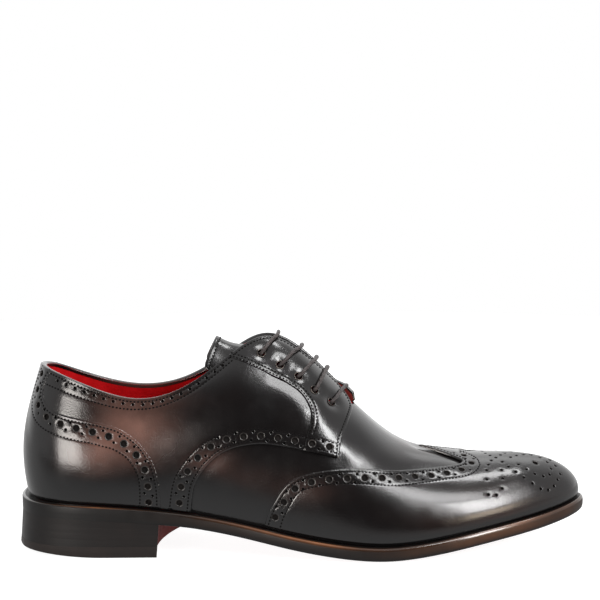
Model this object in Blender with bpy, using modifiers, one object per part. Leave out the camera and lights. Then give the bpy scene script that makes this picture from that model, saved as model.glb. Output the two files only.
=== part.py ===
"""Derby brogue for the right foot, EU 42: wing tip, open lacing, leather sole and stacked heel.

The shoe points along +X with its outer side towards -Y, and stands on its heel and forefoot at z = 0.
Every leather piece is cut from one function of the last: t runs round the sole's edge, one unit for each
row of LAST, from the back of the heel along the outer side to the toe and back along the inner side, and
v climbs from the sole (0) to the top edge or the crest (1). Tables are in millimetres, measured from the
back of the heel; place() turns them into metres about the middle of the shoe.
"""
import math

import bmesh
import bpy
import numpy as np
from mathutils import Vector
from mathutils.geometry import delaunay_2d_cdt

MM = 0.001
# The middle of the shoe's outline on the floor, which becomes the origin
MIDDLE = np.array([150.24, -0.46, 0.0])

# Sections of the last from heel to toe: the sole's edge in plan on each side, the margin from that edge to
# the upper, the top of the section, and the handles that shape the curve between them
COLUMNS = ("outer_x", "outer_y", "inner_x", "inner_y", "welt", "top_x", "gap", "outer_top", "inner_top",
           "flare", "rise", "arrive", "reach")
LAST = {
    "heel_back":  (1.5, 0.0, 1.5, 0.0, 5.2, 14.5, 0.0, 96.5, 96.5, 6.0, 26.0, 72.0, 26.0),
    "heel_round": (8.0, -21.5, 8.0, 21.5, 5.2, 20.0, 14.5, 95.4, 93.6, 5.5, 25.0, 74.0, 24.0),
    "heel_side":  (29.0, -33.0, 29.0, 32.5, 5.0, 37.0, 22.5, 89.2, 86.2, 5.0, 22.0, 76.0, 22.0),
    "collar_low": (59.0, -35.0, 59.0, 33.0, 4.6, 64.0, 24.5, 81.6, 80.2, 5.0, 20.0, 72.0, 20.0),
    "waist":      (90.0, -35.5, 90.0, 30.0, 4.2, 91.0, 23.0, 88.0, 85.4, 5.0, 22.0, 62.0, 22.0),
    "instep":     (118.0, -38.5, 118.0, 29.0, 4.2, 114.0, 16.0, 103.0, 100.0, 5.0, 26.0, 40.0, 22.0),
    "facing_top": (140.0, -43.0, 142.0, 34.0, 4.6, 134.0, 5.5, 109.6, 109.2, 5.0, 28.0, 22.0, 22.0),
    "facing_mid": (162.0, -47.0, 165.0, 42.0, 5.0, 156.0, 5.0, 95.6, 95.6, 5.0, 26.0, 14.0, 24.0),
    "throat_end": (184.0, -49.5, 188.0, 47.5, 5.0, 178.0, 4.5, 73.8, 73.8, 4.5, 22.0, 3.0, 26.0),
    "ball":       (206.0, -48.5, 210.0, 48.5, 5.0, 199.0, 4.0, 55.6, 55.6, 4.0, 18.0, 0.0, 27.0),
    "vamp":       (229.0, -44.0, 233.0, 45.5, 5.0, 219.0, 3.5, 48.3, 48.3, 3.5, 15.0, 0.0, 25.0),
    "toe_side":   (253.0, -35.5, 257.0, 38.0, 4.8, 238.0, 3.0, 45.0, 45.0, 3.5, 14.0, 0.0, 22.0),
    "toe_corner": (276.0, -24.5, 279.0, 28.0, 4.6, 250.0, 2.0, 44.6, 44.6, 3.5, 13.0, 0.0, 21.0),
    "toe_round":  (293.0, -11.5, 294.0, 15.5, 4.4, 257.0, 1.0, 44.6, 44.6, 4.0, 12.0, 0.0, 21.0),
    "toe_tip":    (300.0, 2.5, 300.0, 2.5, 4.4, 260.0, 0.0, 44.5, 44.5, 4.0, 12.0, 0.0, 21.0),
}
TOE = len(LAST) - 1
ROUND = 2 * TOE
# The two facings run together into the closed crest between these places
FACING_CLOSES = (6.6, 8.0)
# The crest swings towards the toe's tip over this stretch
CREST_SWINGS = (190.0, 300.0)
# Sections turn square to the crest over the first stretch of t, and fan out round the toe over the second
CREST_SQUARE = (6.0, 8.0)
TOE_FAN = (10.5, 13.5)

# Underside of the outsole's edge along the shoe: heel seat, waist, ball and toe spring, as (x, z)
SOLE_LINE = ((-10.0, 21.2), (0.0, 21.0), (40.0, 20.0), (75.0, 17.6), (110.0, 12.6), (145.0, 5.6),
             (175.0, 1.5), (195.0, 0.8), (215.0, 2.6), (245.0, 7.0), (275.0, 11.4), (300.0, 16.0),
             (310.0, 18.0))
EDGE_HEIGHT = 7.3
CROWN_STARTS = (100.0, 150.0)
SEAT_GAP = 0.3
# Rings of the outsole from its top to its tread: inset from the edge, share of the edge's height, crown
EDGE_PROFILE = ((9.0, 0.0, 0.0), (1.2, 0.0, 0.0), (0.3, 0.1, 0.0), (0.0, 0.3, 0.0), (0.0, 0.7, 0.0),
                (0.4, 0.9, 0.0), (1.4, 1.0, 0.0), (10.0, 1.0, 1.3))

# Wall of the upper and the layers laid over it, as height of the inner face and thickness
WALL = 1.6
LAYER_LIFT = 0.4
WING_THICK = 1.0
QUARTER_THICK = 1.0
COUNTER_THICK = 1.4
EYESTAY_THICK = 1.8
SEAM_INSET = 0.25
BOTTOM_EDGE = 0.02

# Pattern lines on the outer side, as (t, v); the inner side mirrors them
WING_EDGE = ((5.5, BOTTOM_EDGE), (5.69, 0.13), (6.12, 0.257), (6.87, 0.353), (8.38, 0.508), (9.31, 0.62),
             (10.0, 0.686), (10.46, 0.733), (10.69, 0.792), (10.56, 0.855), (10.16, 0.935), (9.65, 1.0))
COUNTER_EDGE = ((1.12, 1.0), (0.97, 0.89), (1.04, 0.8), (1.3, 0.738), (1.65, 0.718), (2.07, 0.728),
                (2.5, 0.742), (2.85, 0.718), (3.16, 0.622), (3.37, 0.497), (3.5, 0.36), (3.56, 0.2),
                (3.57, BOTTOM_EDGE))
EYESTAY_SEAM = ((4.9, 1.0), (4.97, 0.964), (5.19, 0.878), (5.52, 0.781), (5.89, 0.719), (6.26, 0.694),
                (6.54, 0.681), (6.71, 0.653), (6.79, 0.611), (6.75, 0.55), (6.67, 0.503), (6.54, 0.42))
QUARTER_FRONT = ((7.84, 1.0), (7.87, 0.856), (7.75, 0.725), (7.6, 0.625), (7.48, 0.544), (7.39, 0.461))
BAND_FRONT = ((7.39, 0.461), (6.9, 0.437), (6.54, 0.42))
BAND_BACK = ((6.54, 0.42), (5.97, 0.411), (5.4, 0.424), (4.9, 0.433), (4.6, 0.417), (4.37, 0.364),
             (4.2, 0.275), (4.12, 0.183), (4.07, BOTTOM_EDGE))

# Eyelets on each facing from the top one down, as (t, v), and the lace that crosses between them
EYELETS = ((5.68, 0.868), (6.12, 0.786), (6.56, 0.769), (6.94, 0.754), (7.36, 0.761))
LACE_HOLE = 1.6
EYELET_RADIUS = 1.9
EYELET_WIRE = 0.42
LACE_RADIUS = 1.15
LACE_FORWARD = 0.42
LACE_BOW = 0.6
LACE_PATH_POINTS = 15
LACE_SHARES = (0.0, 0.35, 0.7, 1.0)
LACE_ROUNDNESS = 2

# Tongue, from under the vamp to its free end: crest, half width, fall and set-back of its sides
TONGUE_COLUMNS = ("x", "z", "half", "fall", "sweep")
TONGUE = {
    "under_vamp": (192.0, 54.0, 19.0, 5.8, 0.0),
    "throat":     (180.0, 64.4, 19.5, 6.8, 0.0),
    "bar_five":   (170.0, 74.5, 19.5, 8.2, 0.0),
    "bar_four":   (160.0, 85.0, 19.5, 10.6, 0.0),
    "bar_three":  (150.0, 94.6, 19.5, 14.4, 0.0),
    "bar_two":    (140.0, 102.3, 19.5, 17.8, 0.0),
    "bar_one":    (130.0, 106.4, 18.5, 17.4, 1.0),
    "above_lace": (120.0, 107.3, 17.0, 15.0, 3.0),
    "curl":       (112.0, 108.3, 15.5, 14.5, 5.0),
    "free_end":   (105.5, 110.6, 14.5, 15.0, 7.0),
}
TONGUE_THICK = 2.2
TONGUE_ACROSS = 11

# Insole and heel
INSOLE_THICK = 2.6
INSOLE_CLEAR = 0.7
LIFT_HEIGHT = 6.0
LIFT_ROUNDING = 0.8
HEEL_HEIGHT = 20.0
HEEL_LEAN = 1.5
HEEL_INSET = 0.4
BREAST_OUTER = 3.54
BREAST_INNER = 3.76
BREAST_HOLLOW = 2.0
HEEL_SIDE_POINTS = 13
BREAST_POINTS = 3

# Fineness of the surface
T_STEP = 0.4
V_STEP = 0.125
PATTERN_STEP = 5.0
FLAT_T = 22.0
FLAT_V = 70.0
LATTICE_CLEAR = 2.2
LACE_HOLE_SIDES = 10
EYELET_SIDES = 12
EYELET_WIRE_SIDES = 5
DELTA = 0.001
CREST_CLEAR = 0.012
CUT_MERGE = 0.0001
SHARP_ANGLE = math.radians(40.0)
MERGE_DISTANCE = 0.00001

# Finishes, as base colour, roughness and metallic value
FINISHES = {
    "upper_leather": ((0.022, 0.018, 0.017), 0.30, 0.0),
    "overlay_leather": ((0.030, 0.023, 0.020), 0.26, 0.0),
    "lining": ((0.52, 0.012, 0.014), 0.50, 0.0),
    "sole_leather": ((0.045, 0.026, 0.018), 0.32, 0.0),
    "heel_leather": ((0.030, 0.019, 0.015), 0.35, 0.0),
    "top_lift": ((0.024, 0.017, 0.014), 0.55, 0.0),
    "lace_cord": ((0.050, 0.038, 0.034), 0.60, 0.0),
    "eyelet_metal": ((0.040, 0.034, 0.030), 0.40, 0.8),
}


def smoothstep(limits, x):
    """Rise smoothly from 0 to 1 between two limits."""
    low, high = limits
    s = np.clip((np.asarray(x, float) - low) / (high - low), 0.0, 1.0)
    return s * s * (3.0 - 2.0 * s)


def natural_spline(points):
    """Return the natural cubic spline through (x, y) points, as a function."""
    x, y = np.array(points, float).T
    step = np.diff(x)
    matrix = np.eye(len(x))
    right = np.zeros(len(x))
    for i in range(1, len(x) - 1):
        matrix[i, i - 1:i + 2] = step[i - 1], 2.0 * (step[i - 1] + step[i]), step[i]
        right[i] = 6.0 * ((y[i + 1] - y[i]) / step[i] - (y[i] - y[i - 1]) / step[i - 1])
    bend = np.linalg.solve(matrix, right)

    def at(value):
        value = np.asarray(value, float)
        i = np.clip(np.searchsorted(x, value) - 1, 0, len(step) - 1)
        after, before, width = x[i + 1] - value, value - x[i], step[i]
        curve = (bend[i] * after ** 3 + bend[i + 1] * before ** 3) / (6.0 * width)
        line = (y[i] * after + y[i + 1] * before) / width
        return curve + line - (bend[i] * after + bend[i + 1] * before) * width / 6.0

    return at


class Loop:
    """A closed cubic spline that takes one value at each whole t."""

    def __init__(self, values):
        self.values = np.array(values, float)
        size = len(self.values)
        matrix = 4.0 * np.eye(size) + np.roll(np.eye(size), 1, 0) + np.roll(np.eye(size), -1, 0)
        bent = np.roll(self.values, 1) - 2.0 * self.values + np.roll(self.values, -1)
        self.bends = np.linalg.solve(matrix, 6.0 * bent)

    def span(self, t):
        t = np.mod(np.asarray(t, float), len(self.values))
        first = np.minimum(t.astype(int), len(self.values) - 1)
        return first, (first + 1) % len(self.values), t - first

    def at(self, t):
        i, j, u = self.span(t)
        w = 1.0 - u
        bend = (w ** 3 - w) * self.bends[i] + (u ** 3 - u) * self.bends[j]
        return w * self.values[i] + u * self.values[j] + bend / 6.0

    def slope(self, t):
        i, j, u = self.span(t)
        w = 1.0 - u
        bend = (1.0 - 3.0 * w * w) * self.bends[i] + (3.0 * u * u - 1.0) * self.bends[j]
        return self.values[j] - self.values[i] + bend / 6.0


class Last:
    """The outer form of the upper as a function of t and v, in millimetres."""

    def __init__(self):
        column = {name: [row[i] for row in LAST.values()] for i, name in enumerate(COLUMNS)}

        def loop(outer, inner):
            return Loop(column[outer] + column[inner][-2:0:-1])

        self.plan_x = loop("outer_x", "inner_x")
        self.plan_y = loop("outer_y", "inner_y")
        self.top_z = loop("outer_top", "inner_top")
        same_both_sides = ("welt", "top_x", "flare", "rise", "arrive", "reach")
        self.shared = {name: loop(name, name) for name in same_both_sides}
        self.gap = Loop([-gap for gap in column["gap"]] + column["gap"][-2:0:-1])
        self.tip_y = column["outer_y"][-1]
        self.tread = natural_spline(SOLE_LINE)

    def sole_edge(self, t):
        """Return the sole's edge in plan and its outward direction."""
        point = np.stack([self.plan_x.at(t), self.plan_y.at(t)], -1)
        out = np.stack([self.plan_y.slope(t), -self.plan_x.slope(t)], -1)
        return point, out / np.linalg.norm(out, axis=-1, keepdims=True)

    def inset_loop(self, t, inset):
        """Return plan points that lie inside the sole's edge by inset."""
        point, out = self.sole_edge(t)
        return point - out * np.reshape(inset, (-1, 1))

    def top(self, t):
        """Return the top of each section: collar edge, facing edge or closed crest."""
        t = np.mod(t, ROUND)
        opened = 1.0 - smoothstep(FACING_CLOSES, np.minimum(t, ROUND - t))
        own = self.top_z.at(t)
        level = 0.5 * (own + self.top_z.at(ROUND - t))
        x = self.shared["top_x"].at(t)
        y = self.tip_y * smoothstep(CREST_SWINGS, x) + self.gap.at(t) * opened
        return np.stack([x, y, level + (own - level) * opened], -1)

    def point(self, t, v):
        """Return points of the surface: one cubic curve from the sole to the top for each t."""
        t, v = np.broadcast_arrays(np.asarray(t, float), np.asarray(v, float))
        plan, out = self.sole_edge(t)
        foot = plan - out * self.shared["welt"].at(t)[..., None]
        low = np.concatenate([foot, (self.tread(foot[..., 0]) + EDGE_HEIGHT)[..., None]], -1)
        high = self.top(t)
        inward = high[..., :2] - low[..., :2]
        from_heel = np.minimum(np.mod(t, ROUND), ROUND - np.mod(t, ROUND))
        square = smoothstep(CREST_SQUARE, from_heel) * (1.0 - smoothstep(TOE_FAN, from_heel))
        inward = inward * np.stack([1.0 - square, np.ones_like(square)], -1)
        inward = inward / np.linalg.norm(inward, axis=-1, keepdims=True)
        angle = np.radians(self.shared["arrive"].at(t))[..., None]
        swell = np.concatenate([out * self.shared["flare"].at(t)[..., None],
                                self.shared["rise"].at(t)[..., None]], -1)
        arrival = np.concatenate([inward * np.cos(angle), np.sin(angle)], -1)
        first = low + swell
        second = high - arrival * self.shared["reach"].at(t)[..., None]
        w = v[..., None]
        u = 1.0 - w
        return low * u ** 3 + 3.0 * first * w * u * u + 3.0 * second * w * w * u + high * w ** 3

    def slopes(self, t, v):
        """Return the surface's slopes along t and along v."""
        t, v = np.broadcast_arrays(np.asarray(t, float), np.asarray(v, float))
        v = np.clip(v, DELTA, 1.0 - CREST_CLEAR)
        along = (self.point(t + DELTA, v) - self.point(t - DELTA, v)) / (2.0 * DELTA)
        up = (self.point(t, v + DELTA) - self.point(t, v - DELTA)) / (2.0 * DELTA)
        return along, up

    def lifted(self, t, v, lift):
        """Return points that stand off the surface; the crest keeps to its own plane."""
        t, v = np.broadcast_arrays(np.asarray(t, float), np.asarray(v, float))
        normal = np.cross(*self.slopes(t, v))
        around = np.mod(t, ROUND)
        crest = (v > 1.0 - DELTA) & (np.minimum(around, ROUND - around) > FACING_CLOSES[1] - DELTA)
        mirrored = np.cross(*self.slopes(ROUND - t, v))
        normal = np.where(crest[..., None], normal + mirrored, normal)
        normal[..., 1] = np.where(crest, 0.0, normal[..., 1])
        normal = normal / np.linalg.norm(normal, axis=-1, keepdims=True)
        return self.point(t, v) + normal * np.asarray(lift)[..., None], normal

    def disc(self, t, v, radius, sides):
        """Return the (t, v) outline of a round hole of a real radius."""
        along, up = self.slopes(t, v)
        first = along / np.linalg.norm(along)
        second = np.cross(np.cross(first, up), first)
        second = second / np.linalg.norm(second)
        frame = np.array([[along @ first, up @ first], [along @ second, up @ second]])
        angle = np.arange(sides) * 2.0 * math.pi / sides
        steps = np.linalg.solve(frame, radius * np.stack([np.cos(angle), np.sin(angle)]))
        return np.array([t, v]) + steps.T


LAST_FORM = Last()


def place(points):
    """Turn millimetres from the back of the heel into metres about the shoe's middle."""
    return (np.asarray(points, float) - MIDDLE) * MM


def make_material(name):
    """Make a plain material from its row of FINISHES."""
    colour, roughness, metallic = FINISHES[name]
    material = bpy.data.materials.new(name)
    material.use_nodes = True
    shader = material.node_tree.nodes["Principled BSDF"]
    shader.inputs["Base Color"].default_value = (*colour, 1.0)
    shader.inputs["Roughness"].default_value = roughness
    shader.inputs["Metallic"].default_value = metallic
    material.diffuse_color = (*colour, 1.0)
    return material


def add_mesh(name, vertices, faces, finish):
    """Make a mesh object, with points that meet merged into one."""
    mesh = bpy.data.meshes.new(name)
    mesh.from_pydata([tuple(vertex) for vertex in place(vertices)], [], [list(face) for face in faces])
    shape = bmesh.new()
    shape.from_mesh(mesh)
    bmesh.ops.remove_doubles(shape, verts=shape.verts, dist=MERGE_DISTANCE)
    shape.to_mesh(mesh)
    shape.free()
    mesh.shade_smooth()
    mesh.set_sharp_from_angle(angle=SHARP_ANGLE)
    item = bpy.data.objects.new(name, mesh)
    item.data.materials.append(MATERIALS[finish])
    PARTS.objects.link(item)
    return item


def thicken(item, thickness, side):
    """Give an open surface its thickness, outwards for side 1 and inwards for side -1."""
    solid = item.modifiers.new("thickness", "SOLIDIFY")
    solid.thickness = thickness * MM
    solid.offset = side
    solid.use_rim = True


def through(points, step):
    """Return a smooth line through pattern points, about one step apart on the flat pattern."""
    scale = np.array([FLAT_T, FLAT_V])
    points = np.array(points, float)
    padded = np.vstack([2.0 * points[0] - points[1], points, 2.0 * points[-1] - points[-2]])
    line = []
    for a, b, c, d in zip(padded, padded[1:], padded[2:], padded[3:]):
        count = max(1, round(np.linalg.norm((c - b) * scale) / step))
        for s in np.arange(count) / count:
            bend = (2 * a - 5 * b + 4 * c - d) * s * s + (3 * b - a - 3 * c + d) * s ** 3
            line.append(0.5 * (2 * b + (c - a) * s + bend))
    line.append(points[-1])
    return np.array(line)


def straight(first, last, step):
    """Return a straight pattern line."""
    first, last = np.array(first), np.array(last)
    count = max(1, round(np.linalg.norm((last - first) * (FLAT_T, FLAT_V)) / step))
    return first + (last - first) * np.linspace(0.0, 1.0, count + 1)[:, None]


def mirrored(outline):
    """Return a pattern outline on the other side of the shoe."""
    return (np.array(outline) * (-1.0, 1.0) + (ROUND, 0.0))[::-1]


def closed_outline(*lines):
    """Join pattern lines end to end, leaving out each point that the next line repeats."""
    return np.vstack([line[:-1] for line in lines])


def inset_outline(outline, inset):
    """Draw an outline in by a distance on the flat pattern, so that neighbours stay apart."""
    scale = np.array([FLAT_T, FLAT_V])
    flat = outline * scale
    ahead = np.roll(flat, -1, 0) - flat
    ahead = ahead / np.linalg.norm(ahead, axis=1, keepdims=True)
    tangent = ahead + np.roll(ahead, 1, 0)
    tangent = tangent / np.linalg.norm(tangent, axis=1, keepdims=True)
    area = 0.5 * np.sum(flat[:, 0] * np.roll(flat[:, 1], -1) - np.roll(flat[:, 0], -1) * flat[:, 1])
    left = np.stack([-tangent[:, 1], tangent[:, 0]], 1) * math.copysign(inset, area)
    return (flat + left) / scale


def inside(outline, points):
    """Say which points lie inside a closed outline."""
    hit = np.zeros(len(points), bool)
    for (x0, y0), (x1, y1) in zip(outline, np.roll(outline, -1, 0)):
        if y0 != y1:
            crosses = (points[:, 1] < y0) != (points[:, 1] < y1)
            hit ^= crosses & (points[:, 0] < x0 + (points[:, 1] - y0) * (x1 - x0) / (y1 - y0))
    return hit


def distance(outline, points):
    """Return each point's distance to a closed outline."""
    nearest = np.full(len(points), np.inf)
    for start, end in zip(outline, np.roll(outline, -1, 0)):
        run = end - start
        s = np.clip((points - start) @ run / (run @ run), 0.0, 1.0)
        nearest = np.minimum(nearest, np.linalg.norm(points - start - s[:, None] * run, axis=1))
    return nearest


def cut_leather(name, outline, holes, lift, finish):
    """Cut a piece from the last's surface: its outline and holes on the flat pattern, meshed and lifted."""
    scale = np.array([FLAT_T, FLAT_V])
    loops = [np.array(loop) * scale for loop in (outline, *holes)]
    low = np.floor(np.min(outline, 0) / (T_STEP, V_STEP))
    high = np.ceil(np.max(outline, 0) / (T_STEP, V_STEP))
    columns = np.arange(low[0], high[0] + 1.0) * T_STEP
    rows = np.arange(low[1], high[1] + 1.0) * V_STEP
    lattice = np.array([(t, v) for t in columns for v in rows]) * scale
    keep = inside(loops[0], lattice)
    for loop in loops:
        keep &= distance(loop, lattice) > LATTICE_CLEAR
    for loop in loops[1:]:
        keep &= ~inside(loop, lattice)
    points = [Vector(point) for loop in loops for point in loop]
    points += [Vector(point) for point in lattice[keep]]
    edges = []
    first = 0
    for loop in loops:
        edges += [(first + i, first + (i + 1) % len(loop)) for i in range(len(loop))]
        first += len(loop)
    flat, _, faces, *_ = delaunay_2d_cdt(points, edges, [], 0, CUT_MERGE)
    flat = np.array(flat)
    middles = np.array([flat[face].mean(0) for face in faces])
    used = inside(loops[0], middles)
    for loop in loops[1:]:
        used &= ~inside(loop, middles)
    shape, _ = LAST_FORM.lifted(flat[:, 0] / FLAT_T, flat[:, 1] / FLAT_V, lift)
    return add_mesh(name, shape, [face for face, kept in zip(faces, used) if kept], finish)


def loft(name, rings, finish):
    """Join rings of points from the top of a solid to its bottom, and close both ends across the shoe."""
    count = len(rings[0])
    vertices = np.vstack(rings)
    faces = []
    for level in range(len(rings) - 1):
        upper, lower = level * count, (level + 1) * count
        for i in range(count):
            j = (i + 1) % count
            faces.append((upper + i, lower + i, lower + j, upper + j))
    last = (len(rings) - 1) * count
    for i in range(count // 2):
        rung = [i, i + 1, (count - i - 1) % count, (count - i) % count]
        corners = list(dict.fromkeys(rung))
        faces.append(corners)
        faces.append([last + k for k in reversed(corners)])
    return add_mesh(name, vertices, faces, finish)


def make_upper():
    """Make the hollow upper, open at the collar, between the facings and underneath."""
    columns = np.arange(0, round(ROUND / T_STEP) + 1) * T_STEP
    rows = np.arange(0, round(1.0 / V_STEP) + 1) * V_STEP
    bottom = np.stack([columns, np.zeros(len(columns))], 1)
    heel_seam = np.stack([np.full(len(rows), float(ROUND)), rows], 1)
    outline = closed_outline(bottom, heel_seam, (bottom + (0.0, 1.0))[::-1], (heel_seam - (ROUND, 0.0))[::-1])
    holes = []
    for t, v in EYELETS:
        for side_t in (t, ROUND - t):
            holes.append(LAST_FORM.disc(side_t, v, LACE_HOLE, LACE_HOLE_SIDES))
    upper = cut_leather("upper", outline, holes, 0.0, "upper_leather")
    thicken(upper, WALL, -1.0)


def make_wing_cap():
    """Make the wing tip, folded over the toe and welded along the crest."""
    edge = through(WING_EDGE, PATTERN_STEP)
    start, peak = WING_EDGE[0], WING_EDGE[-1]
    bottom = straight(start, (ROUND - start[0], start[1]), PATTERN_STEP)
    crest_t = np.arange(math.ceil(peak[0] / T_STEP), math.floor((ROUND - peak[0]) / T_STEP) + 1) * T_STEP
    crest_t = np.concatenate([[ROUND - peak[0]], crest_t[::-1], [peak[0]]])
    crest = np.stack([crest_t, np.ones(len(crest_t))], 1)
    outline = closed_outline(bottom, mirrored(edge[::-1]), crest, edge[::-1])
    wing = cut_leather("wing_cap", outline, [], LAYER_LIFT, "overlay_leather")
    thicken(wing, WING_THICK, 1.0)


def make_counter():
    """Make the heel counter, which wraps the back and rises to the collar in a strip."""
    edge = through(COUNTER_EDGE, PATTERN_STEP)
    other = edge * (-1.0, 1.0)
    bottom = straight(other[-1], edge[-1], PATTERN_STEP)
    top = straight(edge[0], other[0], PATTERN_STEP)
    counter = cut_leather("heel_counter", closed_outline(bottom, edge[::-1], top, other), [],
                          LAYER_LIFT, "overlay_leather")
    thicken(counter, COUNTER_THICK, 1.0)


def quarter_outline():
    """Return the outer quarter's outline, between the counter, the eyestay and the band at its foot."""
    counter = through(COUNTER_EDGE, PATTERN_STEP)
    seam = through(EYESTAY_SEAM, PATTERN_STEP)
    band = through(BAND_BACK, PATTERN_STEP)
    collar = straight(COUNTER_EDGE[0], EYESTAY_SEAM[0], PATTERN_STEP)
    foot = straight(BAND_BACK[-1], COUNTER_EDGE[-1], PATTERN_STEP)
    return closed_outline(collar, seam, band, foot, counter[::-1])


def eyestay_outline():
    """Return the outer eyestay's outline, round the facing and down to the band's front corner."""
    seam = through(EYESTAY_SEAM, PATTERN_STEP)
    front = through(QUARTER_FRONT, PATTERN_STEP)
    foot = through(BAND_FRONT, PATTERN_STEP)
    facing = straight(EYESTAY_SEAM[0], QUARTER_FRONT[0], PATTERN_STEP)
    return closed_outline(facing, front, foot, seam[::-1])


def make_sides():
    """Make a quarter and an eyestay on each side, with the eyestay's lace holes."""
    quarter = inset_outline(quarter_outline(), SEAM_INSET)
    eyestay = inset_outline(eyestay_outline(), SEAM_INSET)
    for side in ("outer", "inner"):
        outline, facing = quarter, eyestay
        places = EYELETS
        if side == "inner":
            outline, facing = mirrored(quarter), mirrored(eyestay)
            places = [(ROUND - t, v) for t, v in EYELETS]
        panel = cut_leather("quarter_" + side, outline, [], LAYER_LIFT, "overlay_leather")
        thicken(panel, QUARTER_THICK, 1.0)
        holes = [LAST_FORM.disc(t, v, LACE_HOLE, LACE_HOLE_SIDES) for t, v in places]
        stay = cut_leather("eyestay_" + side, facing, holes, LAYER_LIFT, "overlay_leather")
        thicken(stay, EYESTAY_THICK, 1.0)
        for number, (t, v) in enumerate(places, 1):
            make_eyelet(f"eyelet_{side}_{number}", t, v)


def make_eyelet(name, t, v):
    """Seat a small round eyelet on the eyestay, round its lace hole."""
    height = LAYER_LIFT + EYESTAY_THICK + SEAT_GAP + EYELET_WIRE
    centre, normal = LAST_FORM.lifted(t, v, height)
    bpy.ops.mesh.primitive_torus_add(major_radius=EYELET_RADIUS * MM, minor_radius=EYELET_WIRE * MM,
                                     major_segments=EYELET_SIDES, minor_segments=EYELET_WIRE_SIDES,
                                     location=place(centre),
                                     rotation=Vector(normal).to_track_quat("Z", "Y").to_euler())
    eyelet = bpy.context.object
    eyelet.name = name
    eyelet.data.name = name
    eyelet.data.materials.append(MATERIALS["eyelet_metal"])
    eyelet.data.shade_smooth()
    for collection in list(eyelet.users_collection):
        collection.objects.unlink(eyelet)
    PARTS.objects.link(eyelet)


def smooth_path(points, count):
    """Return points at even steps along a smooth curve through a route's points."""
    points = np.array(points, float)
    run = np.concatenate([[0.0], np.cumsum(np.linalg.norm(np.diff(points, axis=0), axis=1))])
    steps = np.linspace(0.0, run[-1], count)
    return np.stack([natural_spline(np.stack([run, axis], 1))(steps) for axis in points.T], 1)


def make_lace_bars():
    """Lay a straight bar of lace from each outer eyelet over the facings to the inner one."""
    rest = LAYER_LIFT + EYESTAY_THICK + SEAT_GAP + LACE_RADIUS
    over_eyelet = rest + 2.0 * EYELET_WIRE + SEAT_GAP
    shares = np.array(LACE_SHARES)
    lifts = np.array([over_eyelet, over_eyelet, rest + 0.5 * LACE_BOW, rest + LACE_BOW])
    for number, (t, v) in enumerate(EYELETS, 1):
        rise = v + (1.0 - v) * shares
        outer, _ = LAST_FORM.lifted(t + LACE_FORWARD * shares, rise, lifts)
        inner, _ = LAST_FORM.lifted(ROUND - t - LACE_FORWARD * shares, rise, lifts)
        middle = 0.5 * (outer[-1] + inner[-1])
        route = np.vstack([outer[:-1], middle, inner[-2::-1]])
        path = place(smooth_path(route, LACE_PATH_POINTS))
        curve = bpy.data.curves.new(f"lace_bar_{number}", "CURVE")
        curve.dimensions = "3D"
        curve.bevel_depth = LACE_RADIUS * MM
        curve.bevel_resolution = LACE_ROUNDNESS
        curve.use_fill_caps = True
        spline = curve.splines.new("POLY")
        spline.points.add(len(path) - 1)
        for knot, point in zip(spline.points, path):
            knot.co = (*point, 1.0)
        bar = bpy.data.objects.new(f"lace_bar_{number}", curve)
        curve.materials.append(MATERIALS["lace_cord"])
        PARTS.objects.link(bar)


def make_tongue():
    """Make the tongue as an arched sheet under the facings, free at its upper end."""
    rows = [dict(zip(TONGUE_COLUMNS, row)) for row in TONGUE.values()]
    across = np.linspace(-1.0, 1.0, TONGUE_ACROSS)
    vertices = []
    for row in rows:
        for w in across:
            vertices.append((row["x"] - row["sweep"] * w * w, row["half"] * w,
                             row["z"] - row["fall"] * w * w))
    faces = []
    for i in range(len(rows) - 1):
        for j in range(TONGUE_ACROSS - 1):
            near, far = i * TONGUE_ACROSS + j, (i + 1) * TONGUE_ACROSS + j
            faces.append((near, near + 1, far + 1, far))
    tongue = add_mesh("tongue", vertices, faces, "upper_leather")
    thicken(tongue, TONGUE_THICK, -1.0)


def sole_ring(inset, share, crown):
    """Return a ring of the outsole: inset from its edge, a share of the way down, crowned to the floor."""
    t = np.arange(0, round(ROUND / T_STEP)) * T_STEP
    plan = LAST_FORM.inset_loop(t, inset)
    tread = LAST_FORM.tread(plan[:, 0]) - crown * smoothstep(CROWN_STARTS, plan[:, 0])
    return np.column_stack([plan, np.maximum(tread, 0.0) + (EDGE_HEIGHT - SEAT_GAP) * (1.0 - share)])


def make_outsole():
    """Make the leather outsole with a rounded edge and a crowned tread that is flat at the ball."""
    loft("outsole", [sole_ring(*row) for row in EDGE_PROFILE], "sole_leather")


def make_insole():
    """Make the insole, which fills the upper's open underside just inside its wall."""
    t = np.arange(0, round(ROUND / T_STEP)) * T_STEP
    inset = LAST_FORM.shared["welt"].at(t) + WALL + INSOLE_CLEAR
    plan = LAST_FORM.inset_loop(t, inset)
    seat = LAST_FORM.tread(plan[:, 0]) + EDGE_HEIGHT
    rings = [np.column_stack([plan, seat + INSOLE_THICK]), np.column_stack([plan, seat])]
    loft("insole", rings, "lining")


def heel_ring(inset, z):
    """Return a ring of the heel at height z: along the outer side, across the breast and back."""
    outer = LAST_FORM.inset_loop(np.linspace(0.0, BREAST_OUTER, HEEL_SIDE_POINTS), inset)
    inner = LAST_FORM.inset_loop(ROUND - np.linspace(BREAST_INNER, 0.0, HEEL_SIDE_POINTS), inset)
    share = np.arange(1, BREAST_POINTS + 1) / (BREAST_POINTS + 1.0)
    breast = outer[-1] + (inner[0] - outer[-1]) * share[:, None]
    breast[:, 0] -= BREAST_HOLLOW * 4.0 * share * (1.0 - share)
    plan = np.vstack([outer, breast, inner[:-1]])
    height = np.full(len(plan), z) if z is not None else LAST_FORM.tread(plan[:, 0]) - SEAT_GAP
    plan[:, 0] -= HEEL_LEAN * (1.0 - height / HEEL_HEIGHT)
    return np.column_stack([plan, height])


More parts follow.
